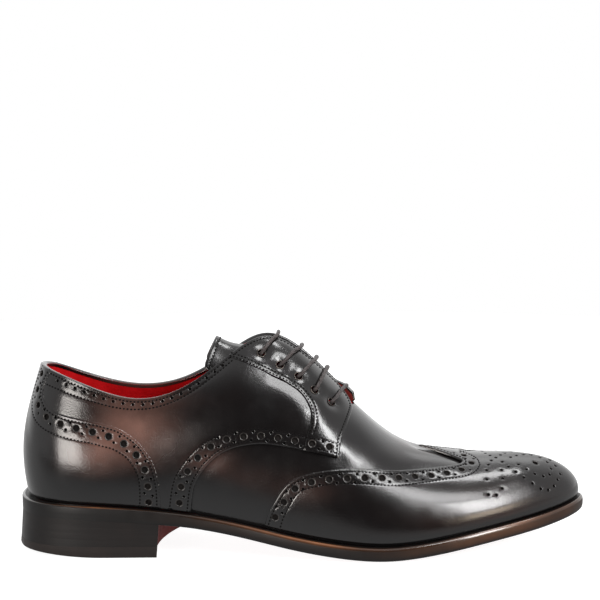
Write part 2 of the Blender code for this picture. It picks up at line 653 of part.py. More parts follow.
def make_heel():
    """Make the stacked heel under the seat and the top lift that stands on the floor."""
    stack = [heel_ring(HEEL_INSET, None), heel_ring(HEEL_INSET, LIFT_HEIGHT + SEAT_GAP)]
    loft("heel_stack", stack, "heel_leather")
    lift = [heel_ring(HEEL_INSET, LIFT_HEIGHT), heel_ring(HEEL_INSET, LIFT_ROUNDING),
            heel_ring(HEEL_INSET + LIFT_ROUNDING, 0.0)]
    loft("heel_top_lift", lift, "top_lift")


for item in list(bpy.data.objects):
    bpy.data.objects.remove(item)
PARTS = bpy.data.collections.new("brogue")
bpy.context.scene.collection.children.link(PARTS)
MATERIALS = {name: make_material(name) for name in FINISHES}

make_outsole()
make_heel()
make_insole()
make_upper()
make_wing_cap()
make_counter()
make_sides()
make_tongue()
make_lace_bars()
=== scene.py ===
"""Looks of a derby brogue for the right foot: polished leather, punched bands, seams, lace, sole and heel.

Every leather piece is cut from the surface of the last. On that surface t runs round the sole's edge, one
unit for each section of the last, from the back of the heel along the outer side to the toe and back along
the inner side, and v climbs from the sole (0) to the top edge or the crest (1). Sizes are millimetres from
the back of the heel, and place() turns them into the frame's metres.
"""

import logging
import math
from dataclasses import dataclass, field
from enum import Enum
from typing import Any, Callable, Sequence

import bpy
import numpy as np
from mathutils import Matrix, Vector
from mathutils.geometry import delaunay_2d_cdt
from mathutils.kdtree import KDTree


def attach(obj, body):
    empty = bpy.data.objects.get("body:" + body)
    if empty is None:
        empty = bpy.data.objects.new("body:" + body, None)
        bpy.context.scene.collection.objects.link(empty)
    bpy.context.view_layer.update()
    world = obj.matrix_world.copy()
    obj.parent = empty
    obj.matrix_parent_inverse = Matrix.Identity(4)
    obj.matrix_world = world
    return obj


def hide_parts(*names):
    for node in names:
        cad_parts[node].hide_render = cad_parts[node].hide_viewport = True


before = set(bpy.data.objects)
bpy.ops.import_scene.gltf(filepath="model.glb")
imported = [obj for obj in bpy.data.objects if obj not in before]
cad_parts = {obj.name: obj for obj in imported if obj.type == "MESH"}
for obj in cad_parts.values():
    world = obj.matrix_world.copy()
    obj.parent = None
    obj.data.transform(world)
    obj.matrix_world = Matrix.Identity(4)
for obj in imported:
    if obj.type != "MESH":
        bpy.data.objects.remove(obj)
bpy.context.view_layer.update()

LOG = logging.getLogger("brogue")
Array = np.ndarray
Line = Sequence[Sequence[float]]
Socket = bpy.types.NodeSocket
BODY = "root"
MM = 0.001
# The middle of the shoe's box on the floor and the thickness of the upper's wall, in millimetres
MIDDLE = np.array([150.24, -0.46, 0.0])
WALL = 1.6
# Small steps: for slopes on the pattern, welds in space, the flat mesh and a first direction
DELTA = 0.001
WELD_GAP = 0.01
MESH_MERGE = 0.00001
NUDGE = 0.000001
NOISE_RANGE = (0.3, 0.7)


class Side(Enum):
    """The two sides of the shoe."""

    OUTER = "outer"
    INNER = "inner"


@dataclass(frozen=True)
class Punch:
    """A round hole punched in leather: its radius, the width of its turned-down rim and its mesh sides."""

    radius: float
    rim: float
    sides: int


class Hole(Enum):
    """The punches that the maker used."""

    BROAD = Punch(1.55, 0.55, 22)
    PIN = Punch(0.68, 0.3, 12)
    COLLAR = Punch(0.78, 0.3, 14)
    TOE = Punch(0.76, 0.35, 14)
    HEART = Punch(1.4, 0.5, 20)
    LACE = Punch(1.9, 0.4, 20)


def unit(vectors: Array) -> Array:
    """Scale vectors to length one."""
    return vectors / np.linalg.norm(vectors, axis=-1, keepdims=True)


def place(points: Array) -> Array:
    """Turn millimetres from the back of the heel into metres about the shoe's middle."""
    return (np.asarray(points, float) - MIDDLE) * MM


def smoothstep(limits: tuple[float, float], x: Array) -> Array:
    """Rise smoothly from 0 to 1 between two limits."""
    s = np.clip((np.asarray(x, float) - limits[0]) / (limits[1] - limits[0]), 0.0, 1.0)
    return s * s * (3.0 - 2.0 * s)


def run_of(points: Array) -> Array:
    """Return the distance along a line of points, from its start."""
    return np.concatenate([[0.0], np.cumsum(np.linalg.norm(np.diff(points, axis=0), axis=1))])


def picked(line: Array, run: Array, at: Array) -> Array:
    """Return the points of a line at distances along it; run holds the distances of its own points."""
    return np.stack([np.interp(at, run, axis) for axis in line.T], 1)


def paired(t: Array, v: Array) -> Sequence[Array]:
    """Return two pattern coordinates as arrays of one shape."""
    return np.broadcast_arrays(np.asarray(t, float), np.asarray(v, float))


def quarter_round(share: Array) -> Array:
    """Return how far a quarter circle has dropped at a share of its radius."""
    return 1.0 - np.sqrt(1.0 - share * share)


def natural_spline(points: Line) -> Callable[[Array], Array]:
    """Fit the natural cubic spline.

    Args:
        points: (x, y) pairs with x rising.

    Returns:
        A function that gives y at any x.
    """
    x, y = np.array(points, float).T
    step = np.diff(x)
    matrix = np.eye(len(x))
    right = np.zeros(len(x))
    for i in range(1, len(x) - 1):
        matrix[i, i - 1:i + 2] = step[i - 1], 2.0 * (step[i - 1] + step[i]), step[i]
        right[i] = 6.0 * ((y[i + 1] - y[i]) / step[i] - (y[i] - y[i - 1]) / step[i - 1])
    bend = np.linalg.solve(matrix, right)

    def at(value: Array) -> Array:
        """Read the spline.

        Args:
            value: values of x.

        Returns:
            y at each of them.
        """
        value = np.asarray(value, float)
        i = np.clip(np.searchsorted(x, value) - 1, 0, len(step) - 1)
        after, before, width = x[i + 1] - value, value - x[i], step[i]
        curve = (bend[i] * after ** 3 + bend[i + 1] * before ** 3) / (6.0 * width)
        line = (y[i] * after + y[i + 1] * before) / width
        return curve + line - (bend[i] * after + bend[i + 1] * before) * width / 6.0

    return at


def smooth_path(points: Array, step: float) -> Array:
    """Run a smooth curve through a route's points.

    Args:
        points: the route.
        step: about how far apart the new points lie.

    Returns:
        Points of the curve.
    """
    run = run_of(points)
    at = np.linspace(0.0, run[-1], max(2, round(run[-1] / step)) + 1)
    return np.stack([natural_spline(np.stack([run, axis], 1))(at) for axis in np.array(points).T], 1)


def through(points: Line, fineness: int = 24) -> Array:
    """Draw a smooth pattern line through a few pattern points.

    Args:
        points: the pattern points.
        fineness: how many steps lie between two of them.

    Returns:
        The line's points.
    """
    knots = np.array(points, float)
    padded = np.vstack([2.0 * knots[0] - knots[1], knots, 2.0 * knots[-1] - knots[-2]])
    line = []
    for a, b, c, d in zip(padded, padded[1:], padded[2:], padded[3:]):
        for s in np.arange(fineness) / fineness:
            bend = (2 * a - 5 * b + 4 * c - d) * s * s + (3 * b - a - 3 * c + d) * s ** 3
            line.append(0.5 * (2 * b + (c - a) * s + bend))
    line.append(knots[-1])
    return np.array(line)


def straight(first: Sequence[float], last: Sequence[float], count: int = 200) -> Array:
    """Return a straight pattern line as many points."""
    return np.linspace(first, last, count + 1)


def inside(outline: Array, points: Array) -> Array:
    """Find the points that lie inside a closed outline.

    Args:
        outline: the outline's points.
        points: the places to test.

    Returns:
        True for each place inside.
    """
    hit = np.zeros(len(points), bool)
    for (x0, y0), (x1, y1) in zip(outline, np.roll(outline, -1, 0)):
        if y0 != y1:
            crosses = (points[:, 1] < y0) != (points[:, 1] < y1)
            hit ^= crosses & (points[:, 0] < x0 + (points[:, 1] - y0) * (x1 - x0) / (y1 - y0))
    return hit


def tree_of(spots: Array, numbers: Sequence[int]) -> KDTree:
    """Make a search tree.

    Args:
        spots: places in space.
        numbers: the number of each place.

    Returns:
        The tree, ready to search.
    """
    tree = KDTree(len(spots))
    for spot, number in zip(spots, numbers):
        tree.insert(spot, number)
    tree.balance()
    return tree


def gaps_to(targets: Array, points: Array) -> tuple[Array, Array]:
    """Find the nearest target of each point.

    Args:
        targets: places in two or three dimensions.
        points: places to measure from, in the same dimensions.

    Returns:
        The distance to the nearest target and its number, for each point.
    """
    if not len(targets):
        return np.full(len(points), np.inf), np.zeros(len(points), int)
    pad = ((0, 0), (0, 3 - np.shape(points)[1]))
    tree = tree_of(np.pad(targets, pad), range(len(targets)))
    found = [tree.find(spot) for spot in np.pad(points, pad)]
    return np.array([hit[2] for hit in found]), np.array([hit[1] for hit in found])


def add_object(name: str, data: bpy.types.ID) -> bpy.types.Object:
    """Add an object to the scene.

    Args:
        name: the object's name.
        data: its mesh, light or camera.

    Returns:
        The object.
    """
    item = bpy.data.objects.new(name, data)
    bpy.context.scene.collection.objects.link(item)
    return item


class Loop:
    """A closed cubic spline that takes one value at each whole t."""

    def __init__(self, values: Sequence[float]) -> None:
        """Fit the spline.

        Args:
            values: its values, one for each whole t.
        """
        self.values = np.array(values, float)
        size = len(self.values)
        matrix = 4.0 * np.eye(size) + np.roll(np.eye(size), 1, 0) + np.roll(np.eye(size), -1, 0)
        bent = np.roll(self.values, 1) - 2.0 * self.values + np.roll(self.values, -1)
        self.bends = np.linalg.solve(matrix, 6.0 * bent)

    def span(self, t: Array) -> tuple[Array, Array, Array]:
        """Find the values on either side of t.

        Args:
            t: places on the loop.

        Returns:
            The numbers of the values before and after each place, and how far it lies between them.
        """
        t = np.mod(np.asarray(t, float), len(self.values))
        first = np.minimum(t.astype(int), len(self.values) - 1)
        return first, (first + 1) % len(self.values), t - first

    def at(self, t: Array) -> Array:
        """Read the spline.

        Args:
            t: places on the loop.

        Returns:
            The value at each place.
        """
        i, j, u = self.span(t)
        w = 1.0 - u
        bend = (w ** 3 - w) * self.bends[i] + (u ** 3 - u) * self.bends[j]
        return w * self.values[i] + u * self.values[j] + bend / 6.0

    def slope(self, t: Array) -> Array:
        """Read the spline's rate of change.

        Args:
            t: places on the loop.

        Returns:
            The rate at each place.
        """
        i, j, u = self.span(t)
        w = 1.0 - u
        bend = (1.0 - 3.0 * w * w) * self.bends[i] + (3.0 * u * u - 1.0) * self.bends[j]
        return self.values[j] - self.values[i] + bend / 6.0


class Surface:
    """A curved sheet as a function of two pattern coordinates, with its outer face on the right-handed side.

    The flat pattern on which pieces are meshed has about so many millimetres to one of each coordinate.
    """

    flat = np.array([24.0, 85.0])

    def point(self, t: Array, v: Array) -> Array:
        """Return points of the sheet."""
        raise NotImplementedError

    def slopes(self, t: Array, v: Array) -> tuple[Array, Array]:
        """Find the sheet's slopes along its two coordinates.

        Args:
            t: first coordinates.
            v: second coordinates.

        Returns:
            The slopes along the first and along the second.
        """
        along = (self.point(t + DELTA, v) - self.point(t - DELTA, v)) / (2.0 * DELTA)
        up = (self.point(t, v + DELTA) - self.point(t, v - DELTA)) / (2.0 * DELTA)
        return along, up

    def normal(self, t: Array, v: Array) -> Array:
        """Return the directions that point out of the sheet."""
        return unit(np.cross(*self.slopes(t, v)))

    def lifted(self, line: Array, lift: Array) -> Array:
        """Return points that stand off the sheet over pattern places by some millimetres."""
        t, v = np.asarray(line, float).T
        return self.point(t, v) + self.normal(t, v) * np.reshape(lift, (-1, 1))

    def steps(self, line: Array, moves: Array) -> Array:
        """Turn moves in space into moves on the pattern.

        Args:
            line: pattern places.
            moves: a move in space at each of them.

        Returns:
            The moves on the pattern.
        """
        along, up = self.slopes(line[:, 0], line[:, 1])
        frames = np.stack([along, up], -2)
        metric = frames @ np.swapaxes(frames, -1, -2)
        return np.linalg.solve(metric, frames @ moves[..., None])[..., 0]

    def shifted(self, line: Array, offset: Array) -> Array:
        """Move a pattern line sideways.

        Args:
            line: the pattern line.
            offset: millimetres to the left of the line's run, one for all or one for each point.

        Returns:
            The moved line.
        """
        t, v = line.T
        along, up = self.slopes(t, v)
        step = np.gradient(line, axis=0)
        run = along * step[:, :1] + up * step[:, 1:]
        left = unit(np.cross(np.cross(along, up), run))
        return line + self.steps(line, left * np.reshape(offset, (-1, 1)))

    def spaced(self, line: Array, step: float) -> Array:
        """Return points of a pattern line about one step apart in space, with its ends kept."""
        run = run_of(self.point(*line.T))
        return picked(line, run, np.linspace(0.0, run[-1], max(1, round(run[-1] / step)) + 1))

    def part(self, line: Array, start: float, end: float) -> Array:
        """Return a pattern line without some millimetres at its start and end."""
        run = run_of(self.point(*line.T))
        return picked(line, run, np.linspace(start, run[-1] - end, len(line)))

    def disc(self, centre: Sequence[float], radius: float, sides: int) -> Array:
        """Draw a round hole on the pattern.

        Args:
            centre: the pattern place of its middle.
            radius: its radius in millimetres.
            sides: how many sides it has.

        Returns:
            The hole's outline.
        """
        spot = np.array([centre], float)
        along, up = self.slopes(spot[:, 0], spot[:, 1])
        first = unit(along)
        second = unit(np.cross(np.cross(first, up), first))
        angle = np.arange(sides)[:, None] * 2.0 * math.pi / sides
        moves = radius * (np.cos(angle) * first + np.sin(angle) * second)
        return spot + self.steps(np.repeat(spot, sides, 0), moves)


class Last(Surface):
    """The outer form of the upper, with one cubic curve from the sole to the top for each t."""

    columns = ("outer_x", "outer_y", "inner_x", "inner_y", "welt", "top_x", "gap", "outer_top", "inner_top",
               "flare", "rise", "arrive", "reach")
    sections = {
        "heel_back":  (1.5, 0.0, 1.5, 0.0, 5.2, 14.5, 0.0, 96.5, 96.5, 6.0, 26.0, 72.0, 26.0),
        "heel_round": (8.0, -21.5, 8.0, 21.5, 5.2, 20.0, 14.5, 95.4, 93.6, 5.5, 25.0, 74.0, 24.0),
        "heel_side":  (29.0, -33.0, 29.0, 32.5, 5.0, 37.0, 22.5, 89.2, 86.2, 5.0, 22.0, 76.0, 22.0),
        "collar_low": (59.0, -35.0, 59.0, 33.0, 4.6, 64.0, 24.5, 81.6, 80.2, 5.0, 20.0, 72.0, 20.0),
        "waist":      (90.0, -35.5, 90.0, 30.0, 4.2, 91.0, 23.0, 88.0, 85.4, 5.0, 22.0, 62.0, 22.0),
        "instep":     (118.0, -38.5, 118.0, 29.0, 4.2, 114.0, 16.0, 103.0, 100.0, 5.0, 26.0, 40.0, 22.0),
        "facing_top": (140.0, -43.0, 142.0, 34.0, 4.6, 134.0, 5.5, 109.6, 109.2, 5.0, 28.0, 22.0, 22.0),
        "facing_mid": (162.0, -47.0, 165.0, 42.0, 5.0, 156.0, 5.0, 95.6, 95.6, 5.0, 26.0, 14.0, 24.0),
        "throat_end": (184.0, -49.5, 188.0, 47.5, 5.0, 178.0, 4.5, 73.8, 73.8, 4.5, 22.0, 3.0, 26.0),
        "ball":       (206.0, -48.5, 210.0, 48.5, 5.0, 199.0, 4.0, 55.6, 55.6, 4.0, 18.0, 0.0, 27.0),
        "vamp":       (229.0, -44.0, 233.0, 45.5, 5.0, 219.0, 3.5, 48.3, 48.3, 3.5, 15.0, 0.0, 25.0),
        "toe_side":   (253.0, -35.5, 257.0, 38.0, 4.8, 238.0, 3.0, 45.0, 45.0, 3.5, 14.0, 0.0, 22.0),
        "toe_corner": (276.0, -24.5, 279.0, 28.0, 4.6, 250.0, 2.0, 44.6, 44.6, 3.5, 13.0, 0.0, 21.0),
        "toe_round":  (293.0, -11.5, 294.0, 15.5, 4.4, 257.0, 1.0, 44.6, 44.6, 4.0, 12.0, 0.0, 21.0),
        "toe_tip":    (300.0, 2.5, 300.0, 2.5, 4.4, 260.0, 0.0, 44.5, 44.5, 4.0, 12.0, 0.0, 21.0),
    }
    sole_line = ((-10.0, 21.2), (0.0, 21.0), (40.0, 20.0), (75.0, 17.6), (110.0, 12.6), (145.0, 5.6),
                 (175.0, 1.5), (195.0, 0.8), (215.0, 2.6), (245.0, 7.0), (275.0, 11.4), (300.0, 16.0),
                 (310.0, 18.0))
    toe = len(sections) - 1
    around = 2 * toe
    edge_height = 7.3
    facing_closes = (6.6, 8.0)
    crest_swings = (190.0, 300.0)
    crest_square = (6.0, 8.0)
    toe_fan = (10.5, 13.5)
    top_clear = 12.0 * DELTA
    toe_search = ((9.0, 19.0, 161), (0.2, 0.99, 81))
    search_rounds = 6

    def __init__(self) -> None:
        """Fit a closed spline to each column of the sections."""
        column = {name: [row[i] for row in self.sections.values()] for i, name in enumerate(self.columns)}

        def loop(outer: str, inner: str) -> Loop:
            """Join a column of the outer side to one of the inner side."""
            return Loop(column[outer] + column[inner][-2:0:-1])

        self.plan_x = loop("outer_x", "inner_x")
        self.plan_y = loop("outer_y", "inner_y")
        self.top_z = loop("outer_top", "inner_top")
        shared = ("welt", "top_x", "flare", "rise", "arrive", "reach")
        self.shared = {name: loop(name, name) for name in shared}
        self.gap = Loop([-gap for gap in column["gap"]] + column["gap"][-2:0:-1])
        self.tip_y = column["outer_y"][-1]
        self.tread = natural_spline(self.sole_line)

    def from_heel(self, t: Array) -> Array:
        """Return how far t lies from the back of the heel, on either side."""
        t = np.mod(t, self.around)
        return np.minimum(t, self.around - t)

    def sole_edge(self, t: Array) -> tuple[Array, Array]:
        """Return the sole's edge in plan and its outward direction."""
        out = np.stack([self.plan_y.slope(t), -self.plan_x.slope(t)], -1)
        return np.stack([self.plan_x.at(t), self.plan_y.at(t)], -1), unit(out)

    def inset_loop(self, t: Array, inset: Array) -> Array:
        """Return plan points that lie inside the sole's edge by inset."""
        point, out = self.sole_edge(t)
        return point - out * np.reshape(inset, (-1, 1))

    def crest_y(self, x: Array) -> Array:
        """Return how far the crest swings to the inner side at x."""
        return self.tip_y * smoothstep(self.crest_swings, x)

    def top(self, t: Array) -> Array:
        """Find the top of each section: collar edge, facing edge or closed crest.

        Args:
            t: places round the last.

        Returns:
            Points in space.
        """
        t = np.mod(t, self.around)
        opened = 1.0 - smoothstep(self.facing_closes, self.from_heel(t))
        own = self.top_z.at(t)
        level = 0.5 * (own + self.top_z.at(self.around - t))
        x = self.shared["top_x"].at(t)
        y = self.crest_y(x) + self.gap.at(t) * opened
        return np.stack([x, y, level + (own - level) * opened], -1)

    def point(self, t: Array, v: Array) -> Array:
        """Find points of the surface.

        Args:
            t: places round the last.
            v: heights on it, from 0 to 1.

        Returns:
            Points in space.
        """
        t, v = paired(t, v)
        plan, out = self.sole_edge(t)
        foot = plan - out * self.shared["welt"].at(t)[..., None]
        low = np.concatenate([foot, (self.tread(foot[..., 0]) + self.edge_height)[..., None]], -1)
        high = self.top(t)
        inward = high[..., :2] - low[..., :2]
        from_heel = self.from_heel(t)
        square = smoothstep(self.crest_square, from_heel) * (1.0 - smoothstep(self.toe_fan, from_heel))
        inward = unit(inward * np.stack([1.0 - square, np.ones_like(square)], -1))
        angle = np.radians(self.shared["arrive"].at(t))[..., None]
        swell = np.concatenate([out * self.shared["flare"].at(t)[..., None],
                                self.shared["rise"].at(t)[..., None]], -1)
        arrival = np.concatenate([inward * np.cos(angle), np.sin(angle)], -1)
        first = low + swell
        second = high - arrival * self.shared["reach"].at(t)[..., None]
        w = v[..., None]
        u = 1.0 - w
        return low * u ** 3 + 3.0 * first * w * u * u + 3.0 * second * w * w * u + high * w ** 3

    def slopes(self, t: Array, v: Array) -> tuple[Array, Array]:
        """Return the slopes along t and v, read just below the top edge where v reaches it."""
        t, v = paired(t, v)
        return super().slopes(t, np.clip(v, DELTA, 1.0 - self.top_clear))

    def normal(self, t: Array, v: Array) -> Array:
        """Find the outward directions; on the closed crest they keep to the crest's own plane.

        Args:
            t: places round the last.
            v: heights on it.

        Returns:
            Directions of length one.
        """
        own = np.cross(*self.slopes(t, v))
        crest = (np.asarray(v) > 1.0 - DELTA) & (self.from_heel(t) > self.facing_closes[1] - DELTA)
        both = own + np.cross(*self.slopes(self.around - np.asarray(t), v))
        own = np.where(crest[..., None], both, own)
        own[..., 1] = np.where(crest, 0.0, own[..., 1])
        return unit(own)

    def mirrored(self, line: Array) -> Array:
        """Return a pattern line on the other side of the shoe, run the other way."""
        return (np.array(line) * (-1.0, 1.0) + (self.around, 0.0))[::-1]

    def under(self, places: Array) -> Array:
        """Find the pattern places that lie under plan places on the toe.

        Args:
            places: plan places as (x, y).

        Returns:
            The pattern places as (t, v).
        """
        t, v = np.meshgrid(*[np.linspace(*limits) for limits in self.toe_search], indexing="ij")
        grid = np.stack([t.ravel(), v.ravel()], 1)
        _, nearest = gaps_to(self.point(*grid.T)[:, :2], places)
        spots = grid[nearest]
        for _ in range(self.search_rounds):
            along, up = self.slopes(*spots.T)
            frames = np.stack([along[:, :2], up[:, :2]], -1)
            miss = places - self.point(*spots.T)[:, :2]
            spots = spots + np.linalg.solve(frames, miss[..., None])[..., 0]
        return spots


class Tongue(Surface):
    """The tongue's upper face: the first coordinate counts its rows, the second runs across from -1 to 1."""

    flat = np.array([12.0, 20.0])
    columns = ("x", "z", "half", "fall", "sweep")
    rows = {
        "under_vamp": (192.0, 54.0, 19.0, 5.8, 0.0),
        "throat":     (180.0, 64.4, 19.5, 6.8, 0.0),
        "bar_five":   (170.0, 74.5, 19.5, 8.2, 0.0),
        "bar_four":   (160.0, 85.0, 19.5, 10.6, 0.0),
        "bar_three":  (150.0, 94.6, 19.5, 14.4, 0.0),
        "bar_two":    (140.0, 101.8, 19.5, 17.8, 0.0),
        "bar_one":    (130.0, 104.8, 18.5, 17.4, 1.0),
        "above_lace": (120.0, 105.6, 17.0, 15.0, 3.0),
        "curl":       (112.0, 107.2, 15.5, 14.5, 5.0),
        "free_end":   (105.5, 110.6, 14.5, 15.0, 7.0),
    }
    last_row = len(rows) - 1.0

    def __init__(self) -> None:
        """Fit a spline to each column of the rows."""
        table = np.array(list(self.rows.values()))
        number = np.arange(len(table))
        self.shape = {name: natural_spline(np.stack([number, table[:, i]], 1))
                      for i, name in enumerate(self.columns)}

    def point(self, t: Array, v: Array) -> Array:
        """Find points of the arched face, with its free end swept back at the sides.

        Args:
            t: numbers of rows.
            v: places across, from -1 to 1.

        Returns:
            Points in space.
        """
        t, v = paired(t, v)
        row = {name: spline(t) for name, spline in self.shape.items()}
        x = row["x"] - row["sweep"] * v * v
        z = row["z"] - row["fall"] * v * v
        return np.stack([x, -row["half"] * v, z], -1)


LAST = Last()


class NodeSheet:
    """A node tree with short calls that add and link its nodes."""

    def __init__(self, tree: bpy.types.NodeTree) -> None:
        """Start with an empty tree."""
        self.tree = tree
        tree.nodes.clear()

    def add(self, kind: str, sockets: dict[Any, Any] | None = None, **settings: Any) -> bpy.types.Node:
        """Add a node.

        Args:
            kind: the node's type.
            sockets: for each input, by name or number, a value or the output that feeds it.
            settings: the node's own properties.

        Returns:
            The new node.
        """
        node = self.tree.nodes.new(kind)
        for name, value in settings.items():
            setattr(node, name, value)
        for name, value in (sockets or {}).items():
            if isinstance(value, Socket):
                self.tree.links.new(value, node.inputs[name])
            else:
                node.inputs[name].default_value = value
        return node

    def noise(self, where: Socket, scale: float, detail: float = 2.0) -> Socket:
        """Return a soft noise that follows some coordinates."""
        noise = self.add("ShaderNodeTexNoise", {"Vector": where, "Scale": scale, "Detail": detail})
        return noise.outputs["Fac"]

    def ranged(self, value: Socket, taken: tuple[float, float], given: tuple[float, float],
               **settings: Any) -> Socket:
        """Map one range of values to another."""
        node = self.add("ShaderNodeMapRange", {"Value": value, "From Min": taken[0], "From Max": taken[1],
                                               "To Min": given[0], "To Max": given[1]}, **settings)
        return node.outputs["Result"]

    def calculate(self, operation: str, *values: Any) -> Socket:
        """Return what an operation makes of outputs or numbers."""
        return self.add("ShaderNodeMath", dict(enumerate(values)), operation=operation).outputs["Value"]

    def blended(self, share: Socket, first: Sequence[float], second: Sequence[float]) -> Socket:
        """Return a mix of two colours."""
        colours = {"Factor": share, 6: (*first, 1.0), 7: (*second, 1.0)}
        return self.add("ShaderNodeMix", colours, data_type="RGBA").outputs[2]


@dataclass(frozen=True)
class Finish:
    """A procedural finish: two colours that a soft pattern mixes, gloss, and grain in the surface."""

    name: str
    ground: tuple[float, float, float]
    tint: tuple[float, float, float]
    patch_scale: float
    roughness: tuple[float, float]
    grain_scale: float
    grain_depth: float
    wave_scale: float = 60.0
    wave_depth: float = 0.0
    coat: float = 0.0
    coat_roughness: float = 0.1
    metallic: float = 0.0
    specular: float = 0.5
    attribute: str = ""
    least_painted: float = 0.35
    patch_detail: float = 4.0
    gloss_share: float = 2.3
    fine_share: float = 0.6
    fine_detail: float = 3.0
    wave_detail: float = 1.0

    def coordinates(self, sheet: NodeSheet) -> Socket:
        """Return the coordinates that the patterns follow."""
        return sheet.add("ShaderNodeTexCoord").outputs["Object"]

    def mixing(self, sheet: NodeSheet, where: Socket) -> Socket:
        """Find how much tint lies over the ground colour.

        Args:
            sheet: the material's nodes.
            where: the coordinates that the patterns follow.

        Returns:
            The tint's share.
        """
        patches = sheet.noise(where, self.patch_scale, self.patch_detail)
        share = sheet.ranged(patches, NOISE_RANGE, (self.least_painted if self.attribute else 0.0, 1.0))
        if not self.attribute:
            return share
        painted = sheet.add("ShaderNodeAttribute", attribute_name=self.attribute)
        return sheet.calculate("MULTIPLY", painted.outputs["Fac"], share)

    def relief(self, sheet: NodeSheet, where: Socket) -> Socket:
        """Find the height of the fine grain.

        Args:
            sheet: the material's nodes.
            where: the coordinates that the patterns follow.

        Returns:
            The height, as a share of the grain's depth.
        """
        cells = sheet.add("ShaderNodeTexVoronoi", {"Vector": where, "Scale": self.grain_scale})
        fine = sheet.noise(where, self.fine_share * self.grain_scale, self.fine_detail)
        return sheet.calculate("ADD", cells.outputs["Distance"], fine)

    def material(self) -> bpy.types.Material:
        """Build the material.

        Returns:
            The material, which any piece can wear.
        """
        material = bpy.data.materials.new(self.name)
        material.use_nodes = True
        sheet = NodeSheet(material.node_tree)
        where = self.coordinates(sheet)
        colour = sheet.blended(self.mixing(sheet, where), self.ground, self.tint)
        gloss = sheet.noise(where, self.gloss_share * self.patch_scale)
        wave = sheet.noise(where, self.wave_scale, self.wave_detail)
        slow = sheet.add("ShaderNodeBump", {"Height": wave, "Distance": self.wave_depth})
        grain = sheet.add("ShaderNodeBump", {"Height": self.relief(sheet, where),
                                             "Distance": self.grain_depth, "Normal": slow.outputs["Normal"]})
        shader = sheet.add("ShaderNodeBsdfPrincipled", {
            "Base Color": colour, "Roughness": sheet.ranged(gloss, NOISE_RANGE, self.roughness),
            "Normal": grain.outputs["Normal"], "Metallic": self.metallic, "Coat Weight": self.coat,
            "Coat Roughness": self.coat_roughness, "Specular IOR Level": self.specular})
        sheet.add("ShaderNodeOutputMaterial", {"Surface": shader.outputs["BSDF"]})
        return material


@dataclass(frozen=True)
class CordFinish(Finish):
    """A waxed braid: the relief follows the cord's own map, with strands that cross."""

    strands: float = 4.0
    twist: float = 1.6

    def relief(self, sheet: NodeSheet, where: Socket) -> Socket:
        """Find the height of two sets of crossing strands.

        Args:
            sheet: the material's nodes.
            where: the other patterns' coordinates, which the strands don't follow.

        Returns:
            The height, as a share of the grain's depth.
        """
        mapped = sheet.add("ShaderNodeUVMap", uv_map="cord").outputs["UV"]
        heights = []
        for turn in (1.0, -1.0):
            lean = sheet.add("ShaderNodeVectorMath", {0: mapped, 1: (self.strands, turn * self.twist, 0.0)},
                             operation="DOT_PRODUCT")
            angle = sheet.calculate("MULTIPLY", lean.outputs["Value"], 2.0 * math.pi)
            heights.append(sheet.calculate("SINE", angle))
        return sheet.calculate("MAXIMUM", *heights)


@dataclass(frozen=True)
class EdgeFinish(Finish):
    """Waxed leather cut across its layers: fine lines lie level along the edge."""

    lines_scale: float = 900.0
    lines_detail: float = 4.0
    squeeze: tuple[float, float, float] = (0.02, 0.02, 1.0)

    def relief(self, sheet: NodeSheet, where: Socket) -> Socket:
        """Return the height of the layers' lines."""
        squeezed = sheet.add("ShaderNodeMapping", {"Vector": where, "Scale": self.squeeze})
        return sheet.noise(squeezed.outputs["Vector"], self.lines_scale, self.lines_detail)


